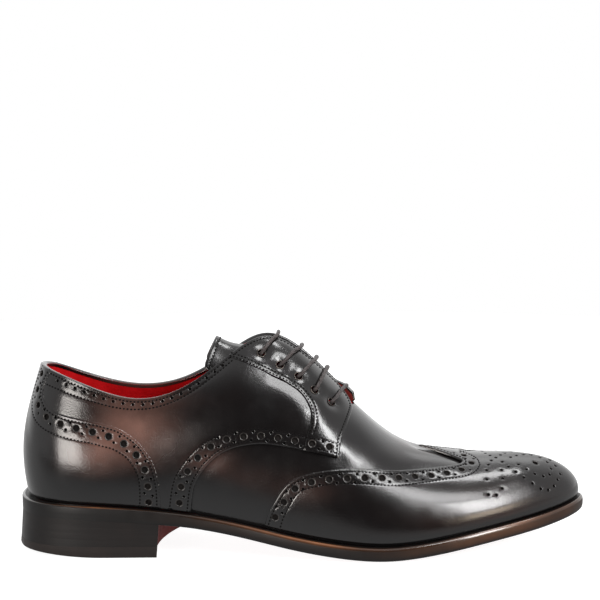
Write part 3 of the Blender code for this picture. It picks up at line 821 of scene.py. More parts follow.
class Finishes(Enum):
    """The finishes of this shoe.

    Each gives its name, ground, tint, patch scale, roughness, grain scale and grain depth in this order.
    """

    # CALF's brown tint lies where the burnish_and_sheen attribute says: a brown burnish in the black polish
    # and a painted warm sheen
    CALF = Finish("black_calf", (0.004, 0.0037, 0.004), (0.22, 0.112, 0.088), 45.0, (0.16, 0.23), 1400.0,
                  0.00003, wave_scale=70.0, wave_depth=0.00012, coat=0.25, attribute="burnish_and_sheen")
    LINING = Finish("red_lining", (0.46, 0.004, 0.006), (0.58, 0.009, 0.013), 140.0, (0.5, 0.6), 900.0,
                    0.00008, specular=0.15)
    # Matte dark leather on the holes' cut walls and on the discs at their bottoms, where it paints the shade
    # in the holes
    PUNCHED_AND_SHADED = Finish("punched_walls_and_shade", (0.008, 0.007, 0.007), (0.015, 0.013, 0.0125), 300.0, (0.8, 0.9),
                     1300.0, 0.00004, specular=0.1)
    # A little lighter than the calf on the turned-down rims of the broad holes: a painted highlight
    RIM = Finish("punched_rim", (0.014, 0.012, 0.011), (0.03, 0.026, 0.024), 300.0, (0.2, 0.3), 1300.0,
                 0.00003)
    THREAD = Finish("waxed_thread", (0.0025, 0.0023, 0.0023), (0.006, 0.005, 0.005), 500.0, (0.6, 0.7),
                    4000.0, 0.00003, specular=0.08)
    LACE = CordFinish("waxed_lace", (0.028, 0.022, 0.022), (0.05, 0.038, 0.037), 300.0, (0.4, 0.55), 1500.0,
                      0.00016)
    EYELET = Finish("lacquered_eyelet", (0.07, 0.06, 0.055), (0.12, 0.105, 0.095), 300.0, (0.2, 0.3), 2500.0,
                    0.00001, metallic=0.9)
    # Both sole-edge finishes take their brown tint where the burnish_and_sheen attribute says: wear with a
    # painted gleam and sheen
    SOLE_EDGE = EdgeFinish("waxed_sole_edge", (0.004, 0.0033, 0.0032), (0.2, 0.08, 0.034), 60.0, (0.36, 0.46),
                           900.0, 0.00003, specular=0.3, attribute="burnish_and_sheen")
    SOLE_BEVEL = EdgeFinish("polished_sole_bevel", (0.008, 0.006, 0.005), (0.26, 0.1, 0.04), 60.0,
                            (0.14, 0.2), 900.0, 0.00002, coat=0.5, coat_roughness=0.08, attribute="burnish_and_sheen")
    HEEL_EDGE = EdgeFinish("waxed_heel_edge", (0.004, 0.0034, 0.0034), (0.008, 0.0055, 0.005), 50.0,
                           (0.4, 0.5), 900.0, 0.00003, specular=0.28)
    RED_SOLE = Finish("red_sole_leather", (0.1, 0.009, 0.007), (0.15, 0.014, 0.011), 60.0, (0.6, 0.7), 700.0,
                      0.00006, specular=0.1)
    LIFT = EdgeFinish("dark_rubber_lift", (0.008, 0.0056, 0.005), (0.016, 0.0105, 0.009), 60.0, (0.45, 0.6),
                      700.0, 0.00006, specular=0.3)


class Workshop:
    """Materials made once and shared by the pieces, and the calls that turn meshes into finished pieces."""

    def __init__(self) -> None:
        """Make every finish's material."""
        self.materials = {finish: finish.value.material() for finish in Finishes}

    def piece(self, name: str, vertices: Array, faces: Sequence[Sequence[int]], finishes: Sequence[Finishes],
              numbers: Sequence[int] | None = None, sharp: float = 50.0,
              burnish_and_sheen: Array | None = None) -> bpy.types.Object:
        """Make a mesh piece in the frame.

        Args:
            name: the piece's name.
            vertices: places in millimetres from the back of the heel.
            faces: corners of each face.
            finishes: the piece's finishes.
            numbers: which finish each face has, or the first for all.
            sharp: angle in degrees past which an edge is sharp.
            burnish_and_sheen: how brown each vertex is, as burnish and painted sheen, or the upper's soft
                patches if left out.

        Returns:
            The new object, at the origin.
        """
        mesh = bpy.data.meshes.new(name)
        mesh.from_pydata(place(vertices).tolist(), [], [list(map(int, face)) for face in faces])
        for finish in finishes:
            mesh.materials.append(self.materials[finish])
        if numbers is not None:
            mesh.polygons.foreach_set("material_index", np.asarray(numbers, np.int32))
        brown_and_sheen = burnish_and_sheen_at(np.asarray(vertices)) if burnish_and_sheen is None else burnish_and_sheen
        painted = mesh.attributes.new("burnish_and_sheen", "FLOAT", "POINT")
        painted.data.foreach_set("value", np.asarray(brown_and_sheen, np.float32))
        mesh.shade_smooth()
        mesh.set_sharp_from_angle(angle=math.radians(sharp))
        return add_object(name, mesh)

    def hand_over(self, item: bpy.types.Object, slot: str, *nodes: str) -> None:
        """Give a finished piece to the frame.

        Args:
            item: the piece.
            slot: its material slot; not used.
            nodes: the solids that it stands for.
        """
        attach(item, BODY)
        if nodes:
            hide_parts(*nodes)
        item.data.calc_loop_triangles()
        LOG.info("%s: %d triangles", item.name, len(item.data.loop_triangles))


BURNISH_BASE = 0.008
BURNISH_COLUMNS = ("x", "z", "width", "height", "strength")
# Brown patches on the upper: partly a brown burnish in the polish, partly a painted warm sheen where the
# lights reflect on the quarter, counter and toe
BURNISH_AND_SHEEN_SPOTS = {
    "quarter":     (65.0, 65.0, 17.0, 12.0, 0.95),
    "counter":     (41.0, 56.0, 11.0, 10.0, 0.6),
    "waist":       (101.0, 51.0, 11.0, 6.0, 0.34),
    "vamp_side":   (122.0, 42.0, 22.0, 6.0, 0.07),
    "wing_back":   (152.0, 36.0, 15.0, 6.0, 0.1),
    "wing_low":    (246.0, 24.0, 32.0, 9.0, 0.1),
    "collar":      (66.0, 82.0, 22.0, 5.0, 0.25),
    "wing_peak":   (214.0, 54.0, 12.0, 5.0, 0.15),
}


def burnish_and_sheen_at(points: Array) -> Array:
    """Find how brown the upper is: soft patches of burnish rubbed in by hand, with a painted warm sheen in
    the same patches.

    Args:
        points: places in millimetres.

    Returns:
        From 0 for black to 1 for brown at each place.
    """
    total = np.full(len(points), BURNISH_BASE)
    for row in BURNISH_AND_SHEEN_SPOTS.values():
        spot = dict(zip(BURNISH_COLUMNS, row))
        far = ((points[:, 0] - spot["x"]) / spot["width"]) ** 2
        far = far + ((points[:, 2] - spot["z"]) / spot["height"]) ** 2
        total += spot["strength"] * np.exp(-far)
    return np.clip(total, 0.0, 1.0)


@dataclass(frozen=True, eq=False)
class Crease:
    """A soft trough along a pattern line, or a ridge where its depth is below zero."""

    line: Array
    depth: float
    width: float


@dataclass
class Cut:
    """A leather piece cut from a surface.

    Its outline is lines that follow each other counter-clockwise on the pattern. Free edges are rounded,
    holes have turned-down rims, and each sewn row lies in a groove.
    """

    name: str
    surface: Surface
    edges: list[Array]
    low: float
    high: float
    free: list[Array] = field(default_factory=list)
    holes: list[tuple[Sequence[float], Hole]] = field(default_factory=list)
    seams: list[Array] = field(default_factory=list)
    dimples: list[Sequence[float]] = field(default_factory=list)
    creases: list[Crease] = field(default_factory=list)
    rise: Callable[[Array], Array] | None = None
    lattice: float = 1.7
    edge_step: float = 1.1
    edge_rings: tuple[float, ...] = (0.12, 0.35, 0.8)
    edge_drop: float = 0.5
    rim_drop: float = 0.32
    groove: float = 0.14
    groove_width: float = 0.5
    dimple_depth: float = 1.8
    dimple_width: float = 4.8
    dimple_rings: tuple[float, ...] = (2.5, 3.1, 3.8, 4.6, 5.5, 6.5)
    rim_reach: float = 1.05
    broad_rim: float = 0.5
    # Upward share of the normal over which the brown fades out where the surface turns under: painted shade
    shade_turns_under: tuple[float, float] = (-0.06, 0.05)
    swell: float = 0.05
    swell_lengths: tuple[float, float, float] = (9.0, 11.0, 7.0)
    swell_phase: float = 0.7
    row_share: float = 0.87
    lattice_gap: float = 0.75
    hole_clear: float = 0.05
    rim_shares: tuple[float, ...] = (0.35, 1.0)
    rim_gap: float = 0.1
    seam_step: float = 0.9
    seam_offsets: tuple[float, ...] = (0.0, 0.5, 1.0)
    seam_gap: float = 0.3
    dimple_sides: int = 30
    dimple_gap: float = 0.4
    sample_step: float = 0.2
    crease_step: float = 0.4

    def outline(self) -> Array:
        """Return the closed outline, one edge step apart."""
        return np.vstack([self.surface.spaced(edge, self.edge_step)[:-1] for edge in self.edges])

    def hole_rings(self, share: float) -> list[Array]:
        """Return a ring round each hole, a share of its rim outside its edge."""
        return [self.surface.disc(spot, hole.value.radius + share * hole.value.rim, hole.value.sides)
                for spot, hole in self.holes]

    def hole_table(self) -> tuple[Array, Array, Array]:
        """List the piece's holes.

        Returns:
            Their pattern places, their radii and the widths of their rims.
        """
        spots = np.array([spot for spot, _ in self.holes]).reshape(-1, 2)
        sizes = np.array([(hole.value.radius, hole.value.rim) for _, hole in self.holes]).reshape(-1, 2)
        return spots, sizes[:, 0], sizes[:, 1]

    def gaps_from(self, lines: Sequence[Array], spots: Array, step: float) -> Array:
        """Return how far places in space lie from pattern lines that are read one step apart."""
        samples = np.vstack([self.surface.point(*self.surface.spaced(line, step).T) for line in lines])
        return gaps_to(samples, spots)[0]

    def guides(self) -> list[tuple[Array, float]]:
        """Choose the places that the mesh needs inside the outline.

        Returns:
            Groups of pattern places, each with its least spacing.
        """
        surface = self.surface
        found = [(np.vstack(self.hole_rings(share)), self.rim_gap) for share in self.rim_shares if self.holes]
        edges = [surface.spaced(edge, self.edge_step) for edge in self.free]
        for ring in self.edge_rings:
            found += [(surface.shifted(edge, ring)[1:-1], 0.5 * ring) for edge in edges]
        seams = [surface.spaced(seam, self.seam_step) for seam in self.seams]
        for off in self.seam_offsets:
            if seams:
                lines = [surface.shifted(seam, side * off) for seam in seams for side in (1.0, -1.0)]
                found.append((np.vstack(lines[::2] if off == 0.0 else lines), self.seam_gap))
        for radius in self.dimple_rings:
            discs = [surface.disc(spot, radius, self.dimple_sides) for spot in self.dimples]
            found += [(disc, self.dimple_gap) for disc in discs]
        return found

    def flat_mesh(self) -> tuple[Array, Array, Array]:
        """Mesh the pattern.

        Returns:
            The pattern places, the triangles between them, and which places lie on the outline.
        """
        scale = self.surface.flat
        outline = self.outline()
        loops = [outline] + self.hole_rings(0.0)
        owner = np.concatenate([np.full(len(loop), number) for number, loop in enumerate(loops)])
        kept = np.vstack(loops) * scale
        low, high = outline.min(0) * scale, outline.max(0) * scale
        across = np.arange(low[0], high[0], self.lattice)
        rows = np.arange(low[1], high[1], self.row_share * self.lattice)
        shifts = [0.5 * self.lattice * (number % 2) for number in range(len(rows))]
        lattice = [(x + shift, y) for shift, y in zip(shifts, rows) for x in across]
        groups = [(places * scale, gap) for places, gap in self.guides()]
        groups.append((np.array(lattice), self.lattice_gap * self.lattice))
        centres, radii, _ = self.hole_table()
        for places, gap in groups:
            places = places[inside(outline * scale, places)]
            if len(centres):
                spots = self.surface.point(*(places / scale).T)
                near, which = gaps_to(self.surface.point(*centres.T), spots)
                places = places[near > radii[which] + self.hole_clear]
            clear, _ = gaps_to(kept, places)
            kept = np.vstack([kept, places[clear > gap]])
        edges = []
        first = 0
        for loop in loops:
            edges += [(first + i, first + (i + 1) % len(loop)) for i in range(len(loop))]
            first += len(loop)
        owner = np.concatenate([owner, np.full(len(kept) - len(owner), -1)])
        corners = [Vector(spot) for spot in kept]
        flat, _, faces, origin, *_ = delaunay_2d_cdt(corners, edges, [], 0, MESH_MERGE)
        flat, faces = np.array(flat), np.array(faces)
        owner = np.array([owner[sources[0]] if sources else -1 for sources in origin])
        owners = owner[faces]
        in_hole = (owners[:, 0] > 0) & (owners == owners[:, :1]).all(1)
        used = inside(outline * scale, flat[faces].mean(1)) & ~in_hole
        return flat / scale, faces[used], owner == 0

    def relief(self, places: Array) -> Array:
        """Find how far the outer face stands above or below its level.

        Args:
            places: pattern places.

        Returns:
            Millimetres at each place.
        """
        surface = self.surface
        spots = surface.point(*places.T)
        x, y, z = (spots / self.swell_lengths).T
        height = self.swell * np.sin(x + self.swell_phase) * np.sin(z + y)
        if self.rise:
            height = height + self.rise(places)
        if self.free:
            gap = self.gaps_from(self.free, spots, self.sample_step)
            inner = np.clip(1.0 - gap / self.edge_rings[-1], 0.0, 1.0)
            height = height - self.edge_drop * quarter_round(inner)
        if self.holes:
            centres, radii, rims = self.hole_table()
            gap, which = gaps_to(surface.point(*centres.T), spots)
            inner = np.clip(1.0 - (gap - radii[which]) / rims[which], 0.0, 1.0)
            drop = self.rim_drop * rims[which] / Hole.BROAD.value.rim
            height = height - drop * quarter_round(inner)
        if self.seams:
            gap = self.gaps_from(self.seams, spots, self.sample_step)
            height = height - self.groove * np.exp(-(gap / self.groove_width) ** 2)
        for crease in self.creases:
            gap = self.gaps_from([crease.line], spots, self.crease_step)
            height = height - crease.depth * np.exp(-(gap / crease.width) ** 2)
        for spot in self.dimples:
            gap = np.linalg.norm(spots - surface.point(*spot), axis=1)
            height = height - self.dimple_depth * np.exp(-(gap / self.dimple_width) ** 2)
        return height

    def rim_owners(self, places: Array) -> Array:
        """Find the broad hole on whose rim each place lies.

        Args:
            places: pattern places.

        Returns:
            The hole's number among the broad ones, or -1 for none.
        """
        centres, radii, rims = self.hole_table()
        broad = rims >= self.broad_rim
        if not broad.any():
            return np.full(len(places), -1)
        gap, which = gaps_to(self.surface.point(*centres[broad].T), self.surface.point(*places.T))
        reach = (radii + self.rim_reach * rims)[broad]
        return np.where(gap < reach[which], which, -1)

    def welded(self, base: Array, rim: Array) -> Array:
        """Find the places of the outline that meet in space.

        Args:
            base: places in space.
            rim: which of them lie on the outline.

        Returns:
            For each place its own number, or the lowest number among those that meet there.
        """
        numbers = np.arange(len(base))
        outline = np.flatnonzero(rim)
        tree = tree_of(base[outline], outline)
        for number in outline:
            near = [hit[1] for hit in tree.find_n(base[number], 2) if hit[2] < WELD_GAP]
            numbers[number] = min(near)
        return numbers

    def build(self, workshop: Workshop, outside: Finishes, underside: Finishes) -> bpy.types.Object:
        """Make the closed piece: outer face, inner face and walls round every edge and hole.

        Args:
            workshop: where materials and pieces are made.
            outside: finish of the outer face and the outline's walls.
            underside: finish of the inner face.

        Returns:
            The piece.
        """
        places, faces, rim = self.flat_mesh()
        faces = self.welded(self.surface.point(*places.T), rim)[faces]
        used, faces = np.unique(faces, return_inverse=True)
        faces = faces.reshape(-1, 3)
        places, rim = places[used], rim[used]
        count = len(places)
        outer = self.surface.lifted(places, self.high + self.relief(places))
        inner = self.surface.lifted(places, np.full(count, self.low))
        directed = {(a, b) for face in faces.tolist() for a, b in zip(face, face[1:] + face[:1])}
        walls = sorted((a, a + count, b + count, b) for a, b in directed if (b, a) not in directed)
        # Faces on a broad hole's rim get the lighter rim finish, a painted highlight, and hole walls the
        # matte punched finish that paints the shade in the hole
        owners = self.rim_owners(places)[faces]
        rimmed = (owners[:, 0] >= 0) & (owners == owners[:, :1]).all(1)
        front, back, hole_wall, hole_rim = range(4)
        numbers = np.where(rimmed, hole_rim, front).tolist() + [back] * len(faces)
        numbers += [front if rim[wall[0]] else hole_wall for wall in walls]
        corners = [*faces.tolist(), *(faces[:, ::-1] + count).tolist(), *walls]
        finishes = (outside, underside, Finishes.PUNCHED_AND_SHADED, Finishes.RIM)[:max(numbers) + 1]
        # The brown and painted sheen fade out where the surface turns to face the floor: painted shade
        brown_and_sheen = burnish_and_sheen_at(outer) * smoothstep(self.shade_turns_under, self.surface.normal(*places.T)[:, 2])
        return workshop.piece(self.name, np.vstack([outer, inner]), corners, finishes, numbers,
                              burnish_and_sheen=np.tile(brown_and_sheen, 2))


@dataclass(frozen=True)
class Band:
    """A punched band beside an edge, to the right of the edge's run.

    Broad holes alternate with slanting pairs of pin holes between two sewn rows. Distances from the edge are
    given at even shares of its length.
    """

    holes: tuple[float, ...]
    second_row: tuple[float, ...]
    start: float
    end: float
    first_row: tuple[float, ...] = (1.9, 1.9)
    pitch: float = 9.0
    pin_across: float = 2.1
    pin_along: float = 0.7
    step: float = 1.0

    def beside(self, edge: Array, distances: tuple[float, ...]) -> Array:
        """Draw the line that runs beside the edge.

        Args:
            edge: the edge.
            distances: how far from the edge the line runs, at even shares of its length.

        Returns:
            The line.
        """
        line = LAST.spaced(edge, self.step)
        share = np.linspace(0.0, 1.0, len(line))
        wanted = np.interp(share, np.linspace(0.0, 1.0, len(distances)), distances)
        return LAST.shifted(line, -wanted)

    def rows(self, edge: Array) -> list[Array]:
        """Return the two sewn rows."""
        return [self.beside(edge, self.first_row), self.beside(edge, self.second_row)]

    def punches(self, edge: Array) -> list[tuple[Array, Hole]]:
        """Punch the band.

        Args:
            edge: the edge that it runs beside.

        Returns:
            The band's holes.
        """
        line = LAST.part(self.beside(edge, self.holes), self.start, self.end)
        run = run_of(LAST.point(*line.T))
        count = max(1, round(run[-1] / self.pitch))
        found = [(spot, Hole.BROAD) for spot in LAST.spaced(line, run[-1] / count)]
        middles = (np.arange(count) + 0.5) * run[-1] / count
        for side in (1.0, -1.0):
            moved = LAST.shifted(line, side * self.pin_across)
            found += [(spot, Hole.PIN) for spot in picked(moved, run, middles + side * self.pin_along)]
        return found


class Patterns:
    """The maker's pattern lines on the outer side, through (t, v) places; the inner side mirrors them."""

    bottom = 0.02
    slit_end = 8.0
    slit_notch = ((7.97, 0.95), (7.92, 0.925))
    corner_low = 0.915
    wing_edge = through((
        (5.5, bottom), (5.69, 0.13), (6.12, 0.257), (6.87, 0.353), (8.38, 0.508), (9.31, 0.62), (10.0, 0.686),
        (10.46, 0.733), (10.69, 0.792), (10.56, 0.855), (10.16, 0.935), (9.65, 1.0)))
    counter_edge = through((
        (1.12, 1.0), (0.97, 0.89), (1.04, 0.8), (1.3, 0.738), (1.65, 0.718), (2.07, 0.728), (2.5, 0.742),
        (2.85, 0.718), (3.16, 0.622), (3.37, 0.497), (3.5, 0.36), (3.56, 0.2), (3.57, bottom)))
    eyestay_seam = through((
        (4.9, 1.0), (4.97, 0.964), (5.19, 0.878), (5.52, 0.781), (5.89, 0.719), (6.26, 0.694), (6.54, 0.681),
        (6.71, 0.653), (6.79, 0.611), (6.75, 0.55), (6.67, 0.503), (6.54, 0.42)))
    quarter_front = through((
        (7.3, 1.0), (7.53, 0.985), (7.71, 0.95), (7.83, 0.9), (7.87, 0.84), (7.75, 0.725), (7.6, 0.625),
        (7.48, 0.544), (7.39, 0.461)))
    band_front = through(((7.39, 0.461), (6.9, 0.437), (6.54, 0.42)))
    band_back = through((
        (6.54, 0.42), (5.97, 0.411), (5.4, 0.424), (4.9, 0.433), (4.6, 0.417), (4.37, 0.364), (4.2, 0.275),
        (4.12, 0.183), (4.07, bottom)))
    eyelets = ((5.68, 0.868), (6.12, 0.786), (6.56, 0.769), (6.94, 0.754), (7.36, 0.761))

    @classmethod
    def facing_corner(cls) -> Array:
        """Return the rounded top corner of the facing."""
        return cls.quarter_front[cls.quarter_front[:, 1] > cls.corner_low]

    @classmethod
    def collar(cls) -> Array:
        """Return the collar's edge, from the eyestay back to the counter."""
        return straight(cls.eyestay_seam[0], cls.counter_edge[0])

    @classmethod
    def top_edge(cls) -> Array:
        """Draw the wall's edge on the outer side.

        Returns:
            The line from the closed crest over the facing's corner to the heel.
        """
        corner = cls.facing_corner()
        notch = through([(cls.slit_end, 1.0), *cls.slit_notch, corner[-1]])
        return np.vstack([notch[:-1], corner[::-1], straight(corner[0], (0.0, 1.0), count=300)[1:]])

    @classmethod
    def band_edge(cls) -> Array:
        """Return the whole lower edge of the quarter's band, from the facing's corner to the sole."""
        return np.vstack([cls.band_front[:-1], cls.band_back])

    @classmethod
    def lace_holes(cls, side: Side) -> list[tuple[float, float]]:
        """Return the lace holes of one side, from the top one down."""
        return [(t if side is Side.OUTER else LAST.around - t, v) for t, v in cls.eyelets]


def on_side(side: Side, lines: Sequence[Array]) -> list[Array]:
    """Return outer lines as they lie on one side, in the order and direction that keep an outline's turn."""
    return list(lines) if side is Side.OUTER else [LAST.mirrored(line) for line in reversed(lines)]


def opposite(holes: list[tuple[Array, Hole]]) -> list[tuple[Array, Hole]]:
    """Return the same holes on the other side of the shoe."""
    return [(np.array([LAST.around - spot[0], spot[1]]), hole) for spot, hole in holes]


@dataclass(frozen=True)
class Medallion:
    """The toe's medallion: strands of pin holes round a broad hole, mirrored about an axis in plan."""

    axis_y: float = -7.0
    heart_x: float = 272.8
    pitch: float = 4.4
    least_gap: float = 3.6
    crest_clear: float = 1.6
    crest_ends: float = 258.0
    # Places as (x, distance from the axis)
    lone: tuple[float, float] = (245.6, -16.1)
    outer_strand: Line = ((246.1, -10.8), (248.8, -3.9), (253.6, 1.9), (259.1, 8.0), (265.6, 11.2),
                          (273.1, 12.1), (281.1, 7.7), (285.8, 0.0))
    inner_strand: Line = ((245.8, -22.1), (250.5, -21.0), (253.7, -17.5), (254.0, -12.3), (255.0, -5.3),
                          (258.5, 0.0), (264.0, 4.6), (272.9, 7.5), (280.3, 2.9), (281.0, 0.0))

    def punches(self) -> list[tuple[Array, Hole]]:
        """Punch the medallion.

        Returns:
            Its holes, without those that would straddle the crest's fold.
        """
        spots = []
        for strand in (self.outer_strand, self.inner_strand):
            path = smooth_path(np.array(strand), self.pitch)
            for mirror in (1.0, -1.0):
                spots += [(x, self.axis_y + mirror * off) for x, off in [*path, self.lone]]
        apart = []
        for spot in spots:
            if all(math.dist(spot, other) > self.least_gap for other in apart):
                apart.append(spot)
        clear = [spot for spot in apart if spot[0] > self.crest_ends
                 or abs(spot[1] - LAST.crest_y(spot[0])) > self.crest_clear]
        places = LAST.under(np.array(clear + [(self.heart_x, self.axis_y)]))
        return [(place, Hole.TOE) for place in places[:-1]] + [(places[-1], Hole.HEART)]


@dataclass
class Rows:
    """Sewn rows gathered from the leather pieces, as lines in space with the directions that they face."""

    lines: list[tuple[Array, Array]] = field(default_factory=list)
    above: float = 0.12
    step: float = 0.6

    def add(self, cut: Cut) -> None:
        """Take in a cut piece's rows, laid in its grooves.

        Args:
            cut: the piece.
        """
        for seam in cut.seams:
            line = cut.surface.spaced(seam, self.step)
            lift = cut.high + cut.relief(line) + self.above
            self.lines.append((cut.surface.lifted(line, lift), cut.surface.normal(*line.T)))


@dataclass
class Floors:
    """Matte dark discs at the bottom of every punched hole that does not go through to the inside: painted
    shade laid over the leather beneath.
    """

    workshop: Workshop
    lift: float = 0.12
    beyond: float = 0.25
    sides: int = 14
    spots: list[tuple[Array, Array]] = field(default_factory=list)
    radii: list[float] = field(default_factory=list)

    def add(self, cut: Cut) -> None:
        """Take in a cut piece's holes.

        Args:
            cut: the piece.
        """
        for spot, hole in cut.holes:
            if hole is not Hole.LACE:
                centre = np.array([spot], float)
                self.spots.append((LAST.lifted(centre, np.array([self.lift])), LAST.normal(*centre.T)))
                self.radii.append(hole.value.radius + self.beyond)

    def make(self) -> None:
        """Set one disc under each hole."""
        repeats = Repeats("hole_shade_floors", ("Radius",))
        sheet, size = repeats.sheet, repeats.start.outputs
        disc = sheet.add("GeometryNodeMeshCircle", {"Vertices": self.sides, "Radius": size["Radius"]},
                         fill_type="NGON")
        repeats.close(size["Geometry"], disc.outputs["Mesh"], repeats.upright(),
                      self.workshop.materials[Finishes.PUNCHED_AND_SHADED])
        piece = repeats.run("hole_shade_floors", self.spots, {"Radius": 1.0}, self.radii)
        self.workshop.hand_over(piece, "upper_leather")


@dataclass
class Upper:
    """The leather of the upper: wall, lining, counter, quarters, eyestays, wing tip, top edge and tongue."""

    workshop: Workshop
    rows: Rows
    floors: Floors
    shell_depth: float = 1.1
    lining_top: float = 1.15
    wall: float = WALL
    wall_lattice: float = 2.2
    wall_step: float = 1.6
    wall_swell: float = 0.08
    lining_lattice: float = 2.6
    overlay_low: float = 0.08
    overlay_high: float = 1.4
    counter_high: float = 1.7
    counter_edge: float = 0.4
    eyestay_edge: float = 0.28
    eyestay_lattice: float = 0.95
    eyestay_extra: float = 0.2
    eyestay_low: float = -0.5
    wall_dish: float = 0.9
    # Troughs and a ridge beside the seams: (depth, width)
    seam_dip: tuple[float, float] = (0.62, 3.4)
    seam_ridge: tuple[float, float] = (-0.2, 8.0)
    band_dip: tuple[float, float] = (0.5, 4.5)
    wing_dip: tuple[float, float] = (0.4, 5.0)
    seam_dips_from: float = 5.9
    eyestay_blend: tuple[float, float] = (0.5, 0.6)
    edge_row: float = 1.7
    seam_rows: tuple[float, float] = (0.9, 2.7)
    seam_ends: tuple[float, float] = (1.5, 9.0)
    seam_step: float = 0.5
    least_seam: int = 6
    outline_step: float = 0.2
    hole_margin: float = 0.3
    collar_rows: tuple[float, ...] = (1.5, 1.5)
    collar_low_row: tuple[float, ...] = (3.6, 4.4, 5.3, 6.4, 7.6)
    collar_holes: tuple[float, ...] = (2.4, 2.7, 3.1, 3.4)
    collar_pitch: float = 5.2
    # The strip on the top edge; its profile is (share of the way in, height over the edge)
    strip_reach: float = 7.8
    strip_steps: int = 700
    strip_proud: float = 0.1
    strip_outside: Line = ((0.02, -0.9), (0.0, -0.45))
    strip_crown: float = 0.75
    crown_base: float = -0.3
    crown_points: int = 9
    strip_inside: Line = ((1.0, -0.6), (1.0, -1.8), (0.92, -1.9), (0.35, -0.9))
    strip_lined: float = 0.55
    counter_blend: tuple[float, float] = (1.0, 1.3)
    facing_blend: tuple[float, float] = (4.7, 5.1)
    corner_lift: float = 2.2
    corner_rises: tuple[float, float] = (7.45, 7.7)
    corner_ends: tuple[float, float] = (7.85, 7.97)
    # Share of the profile past which the raised front corner wears the darker red sole finish: painted shade
    # inside the corner
    corner_shade_from: float = 0.2
    facing_from: float = 5.0
    # The tongue; its corner is (rows from the free end, place across)
    tongue_thick: float = 2.2
    tongue_edge: float = 0.7
    tongue_margin: float = 2.4
    tongue_corner: Line = ((0.5, 1.0), (0.2, 0.99), (0.03, 0.92), (0.0, 0.78))
    wing_band: Band = Band((3.8, 4.1, 4.3, 4.7, 5.2, 4.5, 4.4, 5.4, 4.6, 6.3, 6.3),
                           (8.4, 7.0, 7.2, 8.4, 8.9, 9.6, 11.0), start=7.0, end=6.0)
    counter_band: Band = Band((6.8, 5.0, 4.8, 5.3, 5.7, 5.4, 5.2, 5.9, 6.3),
                              (8.6, 10.6, 11.2, 11.4, 10.2, 9.8, 10.8), start=5.5, end=3.5)
    quarter_band: Band = Band((4.5, 4.2, 3.7, 3.7, 4.6, 6.0, 6.4, 6.5, 6.2),
                              (7.3, 6.9, 7.1, 8.0, 9.7, 10.6, 11.0), start=6.0, end=4.0)

    def make_wall(self) -> None:
        """Make the wall that shows as the vamp, and the red lining inside it."""
        around, slit = float(LAST.around), Patterns.slit_end
        edges = [straight((0.0, 0.0), (around, 0.0), count=900), straight((around, 0.0), (around, 1.0)),
                 straight((around, 1.0), (around - slit, 1.0), count=300),
                 straight((around - slit, 1.0), (slit, 1.0), count=400), Patterns.top_edge(),
                 straight((0.0, 1.0), (0.0, 0.0))]
        holes = [(spot, Hole.LACE) for side in Side for spot in Patterns.lace_holes(side)]
        shell = Cut("upper_wall", LAST, edges, -self.shell_depth, 0.0, holes=holes, lattice=self.wall_lattice,
                    edge_step=self.wall_step, swell=self.wall_swell, dimples=[spot for spot, _ in holes],
                    dimple_depth=self.wall_dish)
        for line, dip in ((Patterns.band_edge(), self.band_dip), (Patterns.wing_edge, self.wing_dip)):
            shell.creases += [Crease(on_side(side, [line])[0], *dip) for side in Side]
        self.sew(shell, "upper_leather", "upper")
        lining = Cut("upper_lining", LAST, edges, -self.wall, -self.lining_top, holes=holes,
                     lattice=self.lining_lattice, edge_step=self.wall_step, swell=0.0)
        self.sew(lining, "lining", finish=Finishes.LINING)

    def sew(self, cut: Cut, slot: str, *nodes: str, finish: Finishes = Finishes.CALF) -> None:
        """Build a cut piece, keep its sewn rows and holes, and hand it over.

        Args:
            cut: the piece.
            slot: its material slot.
            nodes: the solids that it stands for.
            finish: the finish of both its faces.
        """
        self.rows.add(cut)
        self.floors.add(cut)
        self.workshop.hand_over(cut.build(self.workshop, finish, finish), slot, *nodes)

    def make_wing(self) -> None:
        """Make the wing tip with its band and the toe's medallion."""
        near = Patterns.wing_edge
        far = LAST.mirrored(near)
        bottom, crest = straight(near[0], far[-1], count=400), straight(far[0], near[-1], count=400)
        cut = Cut("wing_tip", LAST, [bottom, far[::-1], crest, near[::-1]], self.overlay_low,
                  self.overlay_high, free=[bottom, far[::-1], near[::-1]])
        rows, holes = self.wing_band.rows(near), self.wing_band.punches(near)
        self.trim(cut, rows + [LAST.mirrored(row) for row in rows],
                  holes + opposite(holes) + Medallion().punches())
        self.sew(cut, "overlay_leather", "wing_cap")

    def make_counter(self) -> None:
        """Make the counter round the heel, with its band."""
        near = Patterns.counter_edge
        far = near * (-1.0, 1.0)
        bottom, top = straight(far[-1], near[-1]), straight(near[0], far[0])
        edges = [bottom, near[::-1], top, far]
        cut = Cut("counter_leather", LAST, edges, self.overlay_low, self.counter_high, free=edges,
                  edge_drop=self.counter_edge)
        rows, holes = self.counter_band.rows(near), self.counter_band.punches(near)
        self.trim(cut, rows + [row * (-1.0, 1.0) for row in rows],
                  holes + [(spot * (-1.0, 1.0), hole) for spot, hole in holes])
        self.sew(cut, "overlay_leather", "heel_counter")

    def collar_line(self, distances: tuple[float, ...]) -> Array:
        """Return a line below the outer collar edge, from the eyestay back to the counter."""
        return self.quarter_band.beside(Patterns.collar()[::-1], distances[::-1])[::-1]

